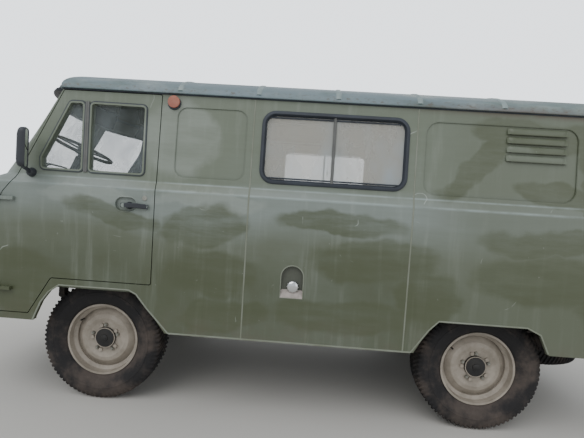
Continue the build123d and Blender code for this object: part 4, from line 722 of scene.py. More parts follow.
def tyreMesh():
    mesh = bmesh.new()
    values = tyreValues
    steps = values["lugs"] * values["cellsPerLug"]
    profile = list(tyreProfile) + [(-a, r, d) for a, r, d in reversed(tyreProfile[:-1])]
    centreRow = len(tyreProfile) - 1
    rings = []
    for row, (across, radius, share) in enumerate(profile):
        ring = []
        shift = 0 if row <= centreRow else values["cellsPerLug"] / 2
        for k in range(steps):
            phase = (k + shift) % values["cellsPerLug"]
            cut = values["depth"] * share if phase >= values["gapFrom"] else 0
            if share == values["grooveMark"]:  # the groove round the middle
                cut = values["depth"] * values["grooveDepth"]
            slant = values["slant"] * max(0.0, 0.1 - abs(across)) * (0.9 if share else 0)
            turn = 2 * math.pi * k / steps + slant
            reach = radius - cut * (0.5 + 0.5 * (radius - 0.3) / 0.068 if share else 1)
            ring.append(mesh.verts.new((math.sin(turn) * reach, across, math.cos(turn) * reach)))
        rings.append(ring)
    bridge(mesh, rings + rings[:1])
    bmesh.ops.recalc_face_normals(mesh, faces=mesh.faces)
    return mesh


wheelValues = {"nuts": 5, "nutCircle": 0.0819, "nutBase": 0.030, "valve": (0.150, 0.020, 0.105),
               "carrierHalf": 0.372}
spareCentre = (-1.74, 0.0, 0.375)
wheelPlaces = (("front_left", frontAxle, 1), ("front_right", frontAxle, -1), ("rear_left", rearAxle, 1),
               ("rear_right", rearAxle, -1))


def wheelMatrix(x, side):
    facing = Matrix.Rotation(0 if side > 0 else math.pi, 4, "Z")
    return Matrix.Translation((x, side * halfTrack, wheelHeight)) @ facing


def buildWheels():
    tread = smoothData("tyre_with_lugs", tyreMesh(), tyreValues["smoothBelow"])
    cap = bmesh.new()
    turnInto(cap, [(0.0645, 0.006), (0.0655, 0.010), (0.0655, 0.034), (0.063, 0.046), (0.056, 0.0535),
                   (0.030, 0.0560), (0.022, 0.0565), (0.020, 0.0600), (0.012, 0.0625), (0, 0.0630)],
             (0, 0, 0), (0, 1, 0), 48)
    capData = smoothData("hub_cap", cap, tyreValues["smoothBelow"])
    nuts = bmesh.new()
    for k in range(wheelValues["nuts"]):
        turn = 2 * math.pi * k / wheelValues["nuts"]
        reach = wheelValues["nutCircle"]
        centre = (math.sin(turn) * reach, wheelValues["nutBase"], math.cos(turn) * reach)
        turnInto(nuts, [(0.0135, 0.0), (0.0135, 0.0035), (0.0118, 0.005)], centre, (0, 1, 0), 24)
        turnInto(nuts, [(0.0118, 0.004), (0.0118, 0.018), (0.0100, 0.0215), (0.0065, 0.0215),
                        (0.0065, 0.0265), (0.0050, 0.0280)], centre, (0, 1, 0), 6, turn)
    nutData = smoothData("wheel_nuts", nuts, tyreValues["smoothBelow"])
    for name, x, side in wheelPlaces:
        body = f"wheel_{name}"
        place = wheelMatrix(x, side)
        tyre = placePiece(f"tyre_{name}_lugged", tread, "tyre", body, place)
        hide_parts(f"tyre_{name}")
        placePiece(f"hub_cap_{name}", capData, "cap", body, place)
        placePiece(f"wheel_nuts_{name}", nutData, "zinc", body, place)
        along, out, up = wheelValues["valve"]
        turnPiece(f"valve_{name}", [(0.004, 0), (0.004, 0.030), (0.0055, 0.031), (0.0055, 0.043),
                                    (0.0035, 0.046)],
                  (x + along, side * (halfTrack + out), wheelHeight + up), (0, side, 0), 12, "cap", body)
    flat = Matrix.Translation(spareCentre) @ Matrix.Rotation(math.pi / 2, 4, "X")
    spare = placePiece("spare_tyre_lugged", tread, "tyre", "van_body", flat)
    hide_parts("spare_wheel")
    rim = nodes["rim_rear_left"]
    disc = rim.data.copy()
    disc.transform(flat @ Matrix.Translation((-rearAxle, -halfTrack, -wheelHeight)) @ rim.matrix_world)
    placePiece("spare_wheel_disc", disc, "wheel")
    carrier = bmesh.new()
    x, z = spareCentre[0], spareCentre[2]
    top = z + 0.110  # the frame's lower edge
    half = wheelValues["carrierHalf"]
    turnInto(carrier, [(0.034, -0.034), (0.034, -0.050), (0.016, -0.058), (0.0125, -0.060),
                       (0.0125, 0.125)], spareCentre, (0, 0, 1), 24)
    turnInto(carrier, [(0.070, -0.036), (0.070, -0.030), (0.030, -0.026)], spareCentre, (0, 0, 1), 32)
    sweepInto(carrier, [Vector((x, across, top + 0.004)) for across in (-half, half)], (0, 0, 1),
              [(-0.030, 0.0), (-0.030, 0.016), (-0.024, 0.018), (0.024, 0.018), (0.030, 0.016),
               (0.030, 0.0), (0.026, 0.0), (0.026, 0.013), (-0.026, 0.013), (-0.026, 0.0)], closed=False)
    finishPiece("spare_wheel_carrier", carrier, "blackSteel")


buildWheels()
print("wheels built")


# Window rubbers, door seals and seams
rubberValues = {"width": 0.0245, "lap": 0.015, "glassDepth": 0.0138, "doorTube": 0.007,
                "sealDepth": 0.0475, "cabWidth": 0.0125, "cabLap": 0.0055, "lean": 0.055}
# Outlines: cabPanes and cabOpening start at the front axle, and the last three are seen from ahead
bayWindow = rectangle(frontAxle - 1.764, frontAxle - 0.933, 1.394, 1.805)
cabPanes = {
    "rear": [(-0.272, 1.388), (0.066, 1.388), (0.079, 1.803), (-0.262, 1.800)],
    "front": [(0.088, 1.388), (0.346, 1.390), (0.352, 1.466), (0.197, 1.803), (0.101, 1.803)],
}
cabOpening = [(-0.346, 0.762), (0.248, 0.762), (0.378, 0.545), (0.590, 0.545), (0.590, 1.180), (0.554, 1.255),
              (0.486, 1.338), (0.236, 1.866), (-0.346, 1.866)]
sideDoorOpening = rectangle(-0.594, 0.292, 0.560, 1.866)
screenCorners = [(0.028, 1.400), (0.800, 1.400), (0.770, 1.640), (0.700, 1.806), (0.028, 1.806)]
rearPane = [(0.150, 1.400), (0.520, 1.400), (0.520, 1.745), (0.150, 1.745)]
rearOpening = rectangle(-0.645, 0.645, 0.640, 1.812)


def rubberSection(width, lap, proud=0.0085):
    depth = rubberValues["glassDepth"]
    return [(-0.003, -0.002), (-0.0025, proud - 0.0035), (0.0005, proud), (lap - 0.0005, proud),
            (lap + 0.0020, proud - 0.003), (lap + 0.0035, -0.004), (width, -depth + 0.003), (width, -depth),
            (lap + 0.0003, -depth), (lap + 0.0003, -0.002)]


def sideRubber(name, corners, radius, side, body, section, shift=0.0):
    outline = dense(rounded([(x + shift, z) for x, z in corners], radius), 0.3)
    if side < 0:
        outline.reverse()
    sweepPiece(name, [sidePoint(x, z, 0, side) for x, z in outline], (0, side, rubberValues["lean"]),
               section, "rubber", body, 50)


def skinDepthPoint(x, z, out, side):
    # the left wall's surface where it turns round the nose's corner
    half, nose, corner = levelAt(z)[1:4]
    centreX = noseCircles(half, frontAxle + nose, corner)[1]
    if x <= centreX:
        return Vector((x, side * (half + out), z)), Vector((0, side, 0.05))
    y = half - corner + math.sqrt(max(corner**2 - (x - centreX) ** 2, 0))
    outward = Vector((x - centreX, side * (y - half + corner), 0)).normalized()
    return Vector((x, side * y, z)) + outward * out, outward


def buildSeals():
    deep = -rubberValues["sealDepth"]
    tube = circleSection(rubberValues["doorTube"], 8)
    thick = rubberSection(rubberValues["width"], rubberValues["lap"])
    slim = rubberSection(rubberValues["cabWidth"], rubberValues["cabLap"], 0.006)
    sideRubber("window_rubber_left", bayWindow, 0.075, 1, "van_body", thick)
    sideRubber("window_rubber_side_door", bayWindow, 0.075, -1, "side_door", thick)
    for name, side in sides:
        for pane, corners in cabPanes.items():
            sideRubber(f"{pane}_pane_rubber_{name}", corners, 0.030, side, f"cab_door_{name}", slim,
                       frontAxle)
        points, outs = [], []
        for x, z in dense(rounded(cabOpening, 0.014, 3), 0.12):
            point, out = skinDepthPoint(x + frontAxle, z, deep, side)
            points.append(point)
            outs.append(out)
        sweepPiece(f"cab_door_seal_{name}", points, outs, tube, "rubber", "van_body", 60)
        outline = dense([(side * y, z) for y, z in rounded(screenCorners, 0.045)], 0.05)
        if side > 0:
            outline.reverse()
        sweepPiece(f"windscreen_rubber_{name}", [nosePoint(y, z) for y, z in outline],
                   [noseOut(y, z) for y, z in outline], thick, "rubber", "van_body", 50)
        outline = rounded([(side * y, z) for y, z in rearPane], 0.060)
        if side < 0:
            outline.reverse()
        sweepPiece(f"rear_window_rubber_{name}", [tailPoint(y, z) for y, z in dense(outline, 0.3)],
                   (-1, 0, 0.05), thick, "rubber", f"rear_door_{name}", 50)
    opening = rounded(sideDoorOpening, 0.014, 3)
    sweepPiece("side_door_seal", [sidePoint(x, z, deep, -1) for x, z in dense(opening, 0.2)], (0, -1, 0),
               tube, "rubber", "van_body", 60)
    opening = rounded(rearOpening, 0.060, 5)
    sweepPiece("rear_door_seal", [tailPoint(y, z, deep) for y, z in dense(opening, 0.2)], (-1, 0, 0), tube,
               "rubber", "van_body", 60)


seamValues = {
    "seams": (frontAxle - 0.883, frontAxle - 1.809),
    "seamHeights": (0.489, 0.66, 0.860, 1.08, 1.310, 1.361, 1.60, 1.864),
    "pressings": (("front", rectangle(-0.847, -0.437, 1.397, 1.803), 0.060),
                  ("rear", rectangle(-2.696, -1.853, 1.385, 1.800), 0.072)),
    "frontArch": ((0.352, 0.508), (0.350, 0.519), (0.308, 0.619), (0.261, 0.684), (0.200, 0.728),
                  (-0.216, 0.728), (-0.262, 0.706), (-0.327, 0.628), (-0.460, 0.489)),
    "rearArch": ((0.448, 0.489), (0.354, 0.625), (0.300, 0.680), (-0.190, 0.680), (-0.268, 0.644),
                 (-0.318, 0.540)),
    "sillHeight": 0.4885,
}


def buildSeams():
    values = seamValues
    for index, x in enumerate(values["seams"]):
        path = [sidePoint(x, z) for z in values["seamHeights"]]
        sweepPiece(f"panel_seam_{index}", path, (0, 1, 0),
                   bothSides((-0.005, -0.001), (-0.0035, 0.0016), (0, 0.0024)), "seam", "van_body", 60,
                   closed=False)
    fold = [(-0.0075, -0.0062), (-0.0070, -0.0054), (-0.0048, -0.0044), (-0.0020, -0.0020),
            (0.0006, -0.0004), (0.0030, 0.0005), (0.0042, 0.0004), (0.0042, -0.0012), (-0.0010, -0.0075)]
    for label, corners, radius in values["pressings"]:
        for name, side in sides:
            outline = dense(rounded([(x + frontAxle, z) for x, z in corners], radius), 0.1)
            if side < 0:
                outline.reverse()
            sweepPiece(f"{label}_pressing_edge_{name}", [sidePoint(x, z, 0, side) for x, z in outline],
                       (0, side, 0), fold, "body", "van_body", 70)
    lip = [(-0.002, -0.004), (-0.002, 0.0008), (0.0, 0.0022), (0.005, 0.0022), (0.007, 0.0008),
           (0.007, -0.004)]
    for name, side in sides:
        for label, axle in (("front", frontAxle), ("rear", rearAxle)):
            path = [skinDepthPoint(x + axle, z, 0, side)[0] for x, z in values[f"{label}Arch"]]
            if side < 0:
                path.reverse()
            sweepPiece(f"{label}_arch_lip_{name}", path, (0, side, 0), lip, "seam", "van_body", 60,
                       closed=False)
        path = [sidePoint(x, values["sillHeight"], 0, side)
                for x in (frontAxle - 0.460, 0.31, 0.0, -0.3, rearAxle + 0.448)]
        sweepPiece(f"sill_lip_{name}", path, (0, side, 0),
                   bothSides((-0.005, -0.004), (-0.005, 0.001), (0, 0.0028)), "seam", "van_body", 60,
                   closed=False)


sliderValues = {"upright": frontAxle - 1.345, "runnerEnds": (frontAxle - 1.725, frontAxle - 0.972),
                "runners": (1.4265, 1.7715), "pull": (-0.034, 1.575, 1.625),
                "pillar": ((0.077, 1.392), (0.083, 1.590), (0.090, 1.800)), "catch": frontAxle + 0.100}


def buildSliders():
    # two sliding panes meet at an upright, with thin runners above and below
    values = sliderValues
    for name, side, body in (("left", 1, "van_body"), ("side_door", -1, "side_door")):
        mesh = bmesh.new()
        x = values["upright"]
        # the pane's upright and the draught strip before it: half width, half thickness, depth of the middle
        for half, thick, depth in ((0.0085, 0.0060, 0.0105), (0.0030, 0.0020, 0.0035)):
            path = [sidePoint(x, z, -depth, side) for z in (1.404, 1.6, 1.795)]
            sweepInto(mesh, path, (0, side, 0),
                      bothSides((-half, -thick), (-half, thick * 0.6), (-half * 0.7, thick)), closed=False)
        shift, low, high = values["pull"]
        wide = Vector((0.006, 0.006, 0))
        blockInto(mesh, sidePoint(x + shift, low, -0.022, side) - wide,
                  sidePoint(x + shift, high, -0.022, side) + wide, 0.003)
        finishPiece(f"sliding_pane_upright_{name}", mesh, "bar", body)
        runner = bmesh.new()
        start, end = values["runnerEnds"]
        for z in values["runners"]:
            path = [sidePoint(along, z, -0.0125, side) for along in (start, x, end)]
            sweepInto(runner, path, (0, side, 0),
                      bothSides((-0.004, -0.003), (-0.004, 0.003), (-0.002, 0.004)), closed=False)
        finishPiece(f"sliding_pane_runners_{name}", runner, "rubber", body)
    for name, side in sides:
        path = [sidePoint(frontAxle + x, z, 0.002, side) for x, z in values["pillar"]]
        section = bothSides((-0.0125, -0.004), (-0.0125, 0.003), (-0.010, 0.0062), (-0.004, 0.0062),
                            (-0.002, 0.004))
        sweepPiece(f"quarter_light_pillar_{name}", path, (0, side, 0.055), section, "bar",
                   f"cab_door_{name}", 40, closed=False)
        catch = bmesh.new()
        x = values["catch"]
        wide = Vector((0.008, 0.006, 0))
        blockInto(catch, sidePoint(x, 1.555, -0.030, side) - wide, sidePoint(x, 1.590, -0.024, side) + wide,
                  0.003)
        turnInto(catch, [(0.007, 0), (0.009, 0.004), (0.009, 0.012), (0.006, 0.015)],
                 sidePoint(x, 1.572, -0.034, side), (0, -side, 0), 16)
        finishPiece(f"quarter_light_catch_{name}", catch, "zinc", f"cab_door_{name}")


louvreValues = {"x": frontAxle - 2.467, "half": 0.160, "bases": (1.601, 1.651, 1.701, 1.751), "panel": -0.006}


def buildLouvres():
    # pressed hoods over the vent slots, round above and open below
    values = louvreValues
    panel = values["panel"]
    # Columns: height over the base, reach from the skin
    hood = ((0.037, -0.006), (0.035, 0.001), (0.031, 0.0058), (0.024, 0.0092), (0.014, 0.0106),
            (0.004, 0.0104), (-0.001, 0.0096), (-0.002, 0.0082), (0.000, 0.0070))
    for name, side in sides:
        mesh = bmesh.new()
        slotShade = bmesh.new()
        for base in values["bases"]:
            rows = []
            for i in range(25):
                u = -1 + i / 12
                ease = math.sqrt(max(0.0, 1 - abs(u) ** 10))
                x = values["x"] + u * values["half"]
                points = [sidePoint(x, base + up, panel + (out - panel) * ease, side) for up, out in hood]
                rows.append([mesh.verts.new(point) for point in points])
            for first, second in zip(rows, rows[1:]):
                for k in range(len(hood) - 1):
                    mesh.faces.new((first[k], first[k + 1], second[k + 1], second[k]))
            spot = sidePoint(values["x"], base, 0.0, side)
            # painted shade: a black block fills the open slot under each hood, standing for the dark gap
            # behind it
            blockInto(slotShade, spot + Vector((-values["half"] + 0.008, -side * 0.006, -0.0016)),
                      spot + Vector((values["half"] - 0.008, side * 0.0072, 0.0004)), 0.0004)
        bmesh.ops.recalc_face_normals(mesh, faces=mesh.faces)
        bmesh.ops.solidify(mesh, geom=mesh.faces[:], thickness=0.0008)
        finishPiece(f"louvre_hoods_{name}", mesh, "body", "van_body", 60)
        finishPiece(f"louvre_slot_shade_{name}", slotShade, "blackSteel")


buildSeals()
buildSeams()
buildSliders()
buildLouvres()
print("rubbers, seams and sliding panes built")


# Roof, gutter and visor
gutterValues = {"reach": 0.018, "visor": 0.088, "bead": 0.0045, "visorFrom": 0.266, "visorHalf": 0.925}


def levelLoop(half, tip, corner, back, backCorner):
    # a plan outline of the body, from the back's middle round the left side to the nose and back
    bowRadius, centreX, tangentY = noseCircles(half, tip, corner)
    left = [(back, 0.0), (back, (half - backCorner) / 2)]
    for k in range(9):
        turn = math.pi / 2 * k / 8
        left.append((back + backCorner - backCorner * math.cos(turn),
                     half - backCorner + backCorner * math.sin(turn)))
    length = centreX - back - backCorner
    left += [(back + backCorner + length * k / 12, half) for k in range(1, 12)]
    last = math.atan2(tangentY - (half - corner),
                      math.sqrt(max(corner**2 - (tangentY - half + corner) ** 2, 0)))
    for k in range(13):
        turn = math.pi / 2 + (last - math.pi / 2) * k / 12
        left.append((centreX + corner * math.cos(turn), half - corner + corner * math.sin(turn)))
    for k in range(1, 9):
        y = tangentY * (1 - k / 8)
        left.append((tip - bowRadius + math.sqrt(bowRadius**2 - y * y), y))
    return left + [(x, -y) for x, y in reversed(left[1:-1])]


def roofLoop(out):
    # the body's outline under the roof, moved outward
    height, half, nose, corner, tail = levels[-1]
    plain = dense(levelLoop(half, frontAxle + nose, corner, tailEnd + tail, 0.090), 0.03)
    loop = [Vector((pulledX(x, y, height), y)) for x, y in plain]
    moved = []
    for i, point in enumerate(loop):
        along = (loop[(i + 1) % len(loop)] - loop[i - 1]).normalized()
        moved.append(point + Vector((-along.y, along.x)) * out)
    return moved


roofValues = {"top": 2.057, "edge": 1.886, "thick": 0.045, "wall": 0.042, "overhang": 0.013,
              "frontRound": 0.46, "backRound": 0.34, "rings": 18,
              "ribs": (-0.450, -0.902, -1.354, -1.810, -2.276), "ribWidth": 0.036, "ribHeight": 0.0042}


def roofHeight(y, half, drop=0.0):
    rise = roofValues["top"] - roofValues["edge"] - drop
    return roofValues["edge"] + rise * math.sqrt(max(0.0, 1 - (y / half) ** 2))


def domeRings(mesh, loop, drop):
    # from the edge to the crown: an ellipse across, and rounded ends
    front = max(point.x for point in loop) - roofValues["frontRound"]
    back = min(point.x for point in loop) + roofValues["backRound"]
    rise = roofValues["top"] - roofValues["edge"] - drop
    rings = []
    for step in range(roofValues["rings"] + 1):
        turn = math.pi / 2 * step / roofValues["rings"]
        ring = []
        for point in loop:
            spine = Vector((min(max(point.x, back), front), 0))
            place = spine + (point - spine) * max(math.cos(turn), 0.0005)
            ring.append(mesh.verts.new((place.x, place.y, roofValues["edge"] + rise * math.sin(turn))))
        rings.append(ring)
    return rings


def buildRoof():
    shell = bmesh.new()
    reach = gutterValues["reach"]
    rim = [(-roofValues["wall"], 1.868), (-0.001, 1.868), (-0.001, 1.8725), (reach, 1.8725),
           (reach + 0.002, 1.876), (reach + 0.001, 1.881), (roofValues["overhang"] + 0.002, 1.8835)]
    rings = [[shell.verts.new((*point, z)) for point in roofLoop(out)] for out, z in rim]
    rings += domeRings(shell, roofLoop(roofValues["overhang"]), 0.0)
    bridge(shell, rings)
    shell.faces.new(rings[-1])
    lining = domeRings(shell, roofLoop(-roofValues["wall"]), roofValues["thick"])
    bridge(shell, [rings[0], *lining])
    shell.faces.new(lining[-1])
    bmesh.ops.recalc_face_normals(shell, faces=shell.faces)
    roof = finishPiece("domed_roof_shell", shell, "roof")
    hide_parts("roof")
    under = bmesh.new()
    upper = domeRings(under, roofLoop(-0.044), roofValues["thick"] + 0.0015)
    lower = domeRings(under, roofLoop(-0.046), roofValues["thick"] + 0.0030)
    bridge(under, [*reversed(upper), *lower])
    under.faces.new(upper[-1])
    under.faces.new(lower[-1])
    bmesh.ops.recalc_face_normals(under, faces=under.faces)
    finishPiece("roof_lining", under, "inside")
    half = levels[-1][1] + roofValues["overhang"]
    for index, x in enumerate(roofValues["ribs"]):
        path = []
        for k in range(41):
            y = half * math.sin(math.radians(-88.5 + 177 * k / 40))
            path.append(Vector((frontAxle + x, y, roofHeight(y, half))))
        wide, high = roofValues["ribWidth"] / 2, roofValues["ribHeight"]
        outs = [Vector((0, p.y * 0.2, 1)) for p in path]
        sweepPiece(f"roof_rib_{index}", path, outs,
                   bothSides((-wide, -0.003), (-wide * 0.7, high * 0.5), (-wide * 0.35, high)), "ribs",
                   "van_body", 60, closed=False)
    # a dark bead under the gutter: partly the real sealant, partly a painted shadow line under the roof's
    # edge
    sweepPiece("gutter_sealant_and_shadow_bead", [Vector((*point, 1.8695)) for point in roofLoop(0.0015)], (0, 0, 1),
               circleSection(gutterValues["bead"], 8), "rubber", "van_body", 60)
    visor = bmesh.new()
    inner, outer = [], []
    loop = roofLoop(0.010)
    for i, point in enumerate(loop):
        if point.x < frontAxle + gutterValues["visorFrom"]:
            continue
        along = (loop[(i + 1) % len(loop)] - loop[i - 1]).normalized()
        share = min(1.0, abs(point.y) / gutterValues["visorHalf"])
        reachHere = gutterValues["visor"] * (1 - share**6) + 0.012
        inner.append(point)
        outer.append(point + Vector((-along.y, along.x)) * reachHere)
    order = sorted(range(len(inner)), key=lambda k: inner[k].y)
    rings = []
    for k in order:
        near, far = inner[k], outer[k]
        lip = far + (far - near).normalized() * 0.004
        middle = near.lerp(far, 0.5)
        places = ((near, 1.890), (middle, 1.888), (far, 1.8785), (lip, 1.8735), (lip, 1.866), (far, 1.8635),
                  (middle, 1.8655), (near, 1.8675))
        rings.append([visor.verts.new((*place, z)) for place, z in places])
    skinInto(visor, rings)
    finishPiece("windscreen_visor", visor, "plastic", "van_body", 50)


buildRoof()
print("roof built")


# Lamps, nose and tail
lampValues = {"y": 0.600, "z": 0.880, "front": 2.118, "amberZ": 1.060, "repeater": (frontAxle - 0.417, 1.818)}
wiperValues = {"pivot": (0.52, 1.372), "arm": ((0.40, 1.405, 0.028), (0.27, 1.452, 0.022)),
               "blade": ((0.08, 1.440), (0.20, 1.447), (0.33, 1.452), (0.46, 1.448))}
grilleValues = {"half": 0.272, "low": 0.785, "high": 0.975, "gauzeHalf": 0.262, "gauzeDepth": 0.0405}


def buildNose():
    for name, side in sides:
        centre = (lampValues["front"], side * lampValues["y"], lampValues["z"])
        ring = turnPiece(f"headlamp_ring_{name}",
                         [(0, -0.090), (0.052, -0.088), (0.0912, -0.060), (0.0912, -0.010), (0.1035, 0.002),
                          (0.104, 0.006), (0.103, 0.012), (0.0985, 0.0175), (0.0925, 0.0195),
                          (0.0885, 0.0180), (0.0875, 0.0135), (0.0875, 0.008), (0.074, -0.020),
                          (0.045, -0.052), (0.018, -0.066), (0, -0.068)], centre, (1, 0, 0), 72, "chrome",
                         "van_body", 30)
        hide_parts("headlamps")
        piece = turnPiece(f"headlamp_lens_{name}",
                          [(0, 0.0135), (0.0870, 0.0120), (0.0880, 0.0150), (0.0850, 0.0185),
                           (0.0700, 0.0240), (0.0520, 0.0282), (0.0300, 0.0311), (0.0120, 0.0324),
                           (0, 0.0326)], centre, (1, 0, 0), 72, "lens", "van_body", 60)
        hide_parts("headlamps")
        turnPiece(f"headlamp_bulb_{name}",
                  [(0.012, -0.066), (0.012, -0.046), (0.008, -0.042), (0.008, -0.022), (0, -0.016)],
                  centre, (1, 0, 0), 20, "zinc")
        base = nosePoint(side * lampValues["y"], lampValues["amberZ"])
        turnPiece(f"turn_lamp_base_{name}",
                  [(0.0385, -0.012), (0.0460, 0.000), (0.0460, 0.008), (0.0420, 0.012), (0.0386, 0.013)],
                  base, (1, 0, 0), 40, "rubber")
        spot = sidePoint(*lampValues["repeater"], 0.0, side)
        turnPiece(f"repeater_base_{name}",
                  [(0.0350, -0.004), (0.0385, 0.001), (0.0385, 0.006), (0.0355, 0.009)],
                  spot, (0, side, 0.05), 40, "rubber")
        wiper = bmesh.new()
        y, z = wiperValues["pivot"]
        pivot, outward = nosePoint(side * y, z), noseOut(side * y, z)
        turnInto(wiper, [(0.016, -0.004), (0.016, 0.010), (0.010, 0.016), (0.010, 0.026), (0.005, 0.030)],
                 pivot, outward, 20)
        arm = [pivot + outward * 0.020]
        arm += [nosePoint(side * y, z, out) for y, z, out in wiperValues["arm"]]
        sweepInto(wiper, arm, noseOut(side * 0.4, 1.4), bothSides((-0.005, -0.0015), (-0.005, 0.0015)),
                  closed=False)
        blade = [nosePoint(side * y, z, 0.008) for y, z in wiperValues["blade"]]
        sweepInto(wiper, blade, noseOut(side * 0.27, 1.45),
                  bothSides((-0.0035, -0.007), (-0.0015, -0.001), (-0.004, 0.001), (-0.004, 0.009)),
                  closed=False)
        finishPiece(f"wiper_{name}", wiper, "blackSteel")
    values = grilleValues
    screen = bmesh.new()
    columns, rows = 25, 5
    grid = []
    for i in range(columns):
        y = values["gauzeHalf"] * (2 * i / (columns - 1) - 1)
        heights = [values["low"] + (values["high"] - values["low"]) * j / (rows - 1) for j in range(rows)]
        grid.append([screen.verts.new(nosePoint(y, z, -values["gauzeDepth"])) for z in heights])
    for i in range(columns - 1):
        for j in range(rows - 1):
            screen.faces.new((grid[i][j], grid[i + 1][j], grid[i + 1][j + 1], grid[i][j + 1]))
    bmesh.ops.solidify(screen, geom=screen.faces[:], thickness=0.003)
    finishPiece("radiator_gauze", screen, "blackSteel", "van_body", 60)
    opening = rectangle(-values["half"], values["half"], values["low"], values["high"])
    outline = dense(rounded(opening, 0.035), 0.04)
    outline.reverse()
    sweepPiece("grille_surround", [nosePoint(y, z) for y, z in outline],
               [noseOut(y, z) for y, z in outline],
               bothSides((-0.009, -0.002), (-0.006, 0.004), (0, 0.007)), "body", "van_body", 60)
    sweepPiece("windscreen_post_cover", [nosePoint(0, z) for z in (1.392, 1.50, 1.60, 1.70, 1.814)],
               (1, 0, 0.4), bothSides((-0.017, -0.002), (-0.015, 0.008), (-0.006, 0.012)), "seam",
               closed=False)


tailValues = {"face": tailEnd + 0.034, "lampY": 0.800, "lampHalf": 0.0375, "lampZ": (0.636, 0.764),
              "lens": 0.027, "lenses": (("stop", 0.728, "red"), ("turn", 0.672, "amber")),
              "reflector": (0.72, 0.845), "gripY": 0.075,
              "grip": ((-0.002, 1.01), (0.018, 1.012), (0.030, 1.03), (0.030, 1.13), (0.018, 1.148),
                       (-0.002, 1.15)), "handle": (-0.085, 0.955),
              "lever": ((-0.085, 0.962), (-0.085, 0.93), (-0.088, 0.87), (-0.09, 0.845))}


def buildTail():
    values = tailValues
    face, radius = values["face"], values["lens"]
    low, high = values["lampZ"]
    for name, side in sides:
        lamp = bmesh.new()
        y = side * values["lampY"]
        blockInto(lamp, (face - 0.001, y - values["lampHalf"], low),
                  (face + 0.030, y + values["lampHalf"], high), 0.006)
        for label, z, finish in values["lenses"]:
            turnInto(lamp, [(radius + 0.004, 0), (radius + 0.004, 0.003), (radius + 0.002, 0.005)],
                     (face, y, z), (-1, 0, 0), 32)
        finishPiece(f"tail_lamp_housing_{name}", lamp, "bumper")
        for label, z, finish in values["lenses"]:
            turnPiece(f"{label}_lens_{name}",
                      [(0.027, 0), (0.027, 0.008), (0.024, 0.0125), (0.020, 0.0140), (0.018, 0.0125),
                       (0.012, 0.0155), (0.010, 0.0140), (0, 0.0170)], (face, y, z), (-1, 0, 0), 36, finish)
        turnPiece(f"rear_reflector_{name}",
                  [(0.030, 0), (0.030, 0.006), (0.027, 0.009), (0.024, 0.0075), (0, 0.009)],
                  tailPoint(side * values["reflector"][0], values["reflector"][1]), (-1, 0, 0), 36, "red")
        x = tailPoint(0, 1.10).x
        sweepPiece(f"rear_door_grip_{name}",
                   [(x - out, side * values["gripY"], z) for out, z in values["grip"]], (0, 1, 0),
                   circleSection(0.0075, 10), "blackSteel", f"rear_door_{name}", 60, closed=False)
    handle = bmesh.new()
    x = tailPoint(0, 0.96).x
    blockInto(handle, (x - 0.006, -0.115, 0.915), (x + 0.001, -0.055, 0.985), 0.003)
    turnInto(handle, [(0.018, 0), (0.018, 0.012), (0.012, 0.018), (0.012, 0.030)], (x, *values["handle"]),
             (-1, 0, 0), 24)
    sweepInto(handle, [(x - 0.026, y, z) for y, z in values["lever"]], (-1, 0, 0),
              bothSides((-0.009, -0.004), (-0.009, 0.003), (-0.005, 0.006)), closed=False)
    finishPiece("rear_door_handle", handle, "blackSteel", "rear_door_right")


buildNose()
buildTail()
print("lamps, nose and tail built")


# Door furniture and mirrors
mirrorValues = {"turn": 26, "halfWidth": 0.067, "halfHeight": 0.110, "corner": 0.030,
                "centre": (frontAxle + 0.378, 1.055, 1.502), "foot": (frontAxle + 0.390, 1.371)}


def buildMirror(name, side, body):
    # a deep round-backed housing turned to the driver, its glass set into the rear face
    values = mirrorValues
    x, y, z = values["centre"]
    head = Matrix.Translation((x, side * y, z)) @ Matrix.Rotation(side * math.radians(values["turn"]), 4, "Z")
    wide, tall = values["halfWidth"], values["halfHeight"]
    shell = bmesh.new()
    outline = rounded([(-wide, -tall), (wide, -tall), (wide, tall), (-wide, tall)], values["corner"], 7)
    rings = []
    # Columns: place along the housing, share of the outline
    for along, share in ((-0.010, 0.935), (-0.014, 0.945), (-0.016, 0.975), (-0.014, 1.0), (0.000, 1.0),
                         (0.010, 0.975), (0.019, 0.90), (0.025, 0.76), (0.029, 0.55), (0.030, 0.28)):
        across, up = 1 - (1 - share) * 0.9, 1 - (1 - share) * 0.6
        rings.append([shell.verts.new(head @ Vector((along, u * across, v * up))) for u, v in outline])
    skinInto(shell, rings)
    piece = finishPiece(f"mirror_housing_{name}", shell, "plastic", body, 50)
    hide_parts(f"mirror_{name}")
    glass = bmesh.new()
    inner = [(u * 0.91, v * 0.945) for u, v in outline]
    skinInto(glass, [[glass.verts.new(head @ Vector((depth, u, v))) for u, v in inner]
                     for depth in (-0.0125, -0.0095)])
    finishPiece(f"mirror_glass_{name}", glass, "mirror", body, 30)
    arm = bmesh.new()
    base = sidePoint(*values["foot"], 0.0, side)
    turnInto(arm, [(0.026, -0.002), (0.027, 0.006), (0.024, 0.014), (0.021, 0.018), (0.021, 0.024),
                   (0.015, 0.031), (0.012, 0.032)], base, (0, side, 0), 32)
    bottom = head @ Vector((0.008, -side * 0.030, -tall + 0.012))
    path = [base + Vector((0, side * 0.018, 0)), base + Vector((-0.002, side * 0.036, 0.003)),
            base + Vector((-0.005, side * 0.052, 0.013))]
    path += [path[-1].lerp(bottom, 0.5) + Vector((0, side * 0.004, 0)), bottom]
    sweepInto(arm, path, (1, 0, 0), circleSection(0.0105, 12), closed=False)
    finishPiece(f"mirror_arm_{name}", arm, "plastic", body, 50)


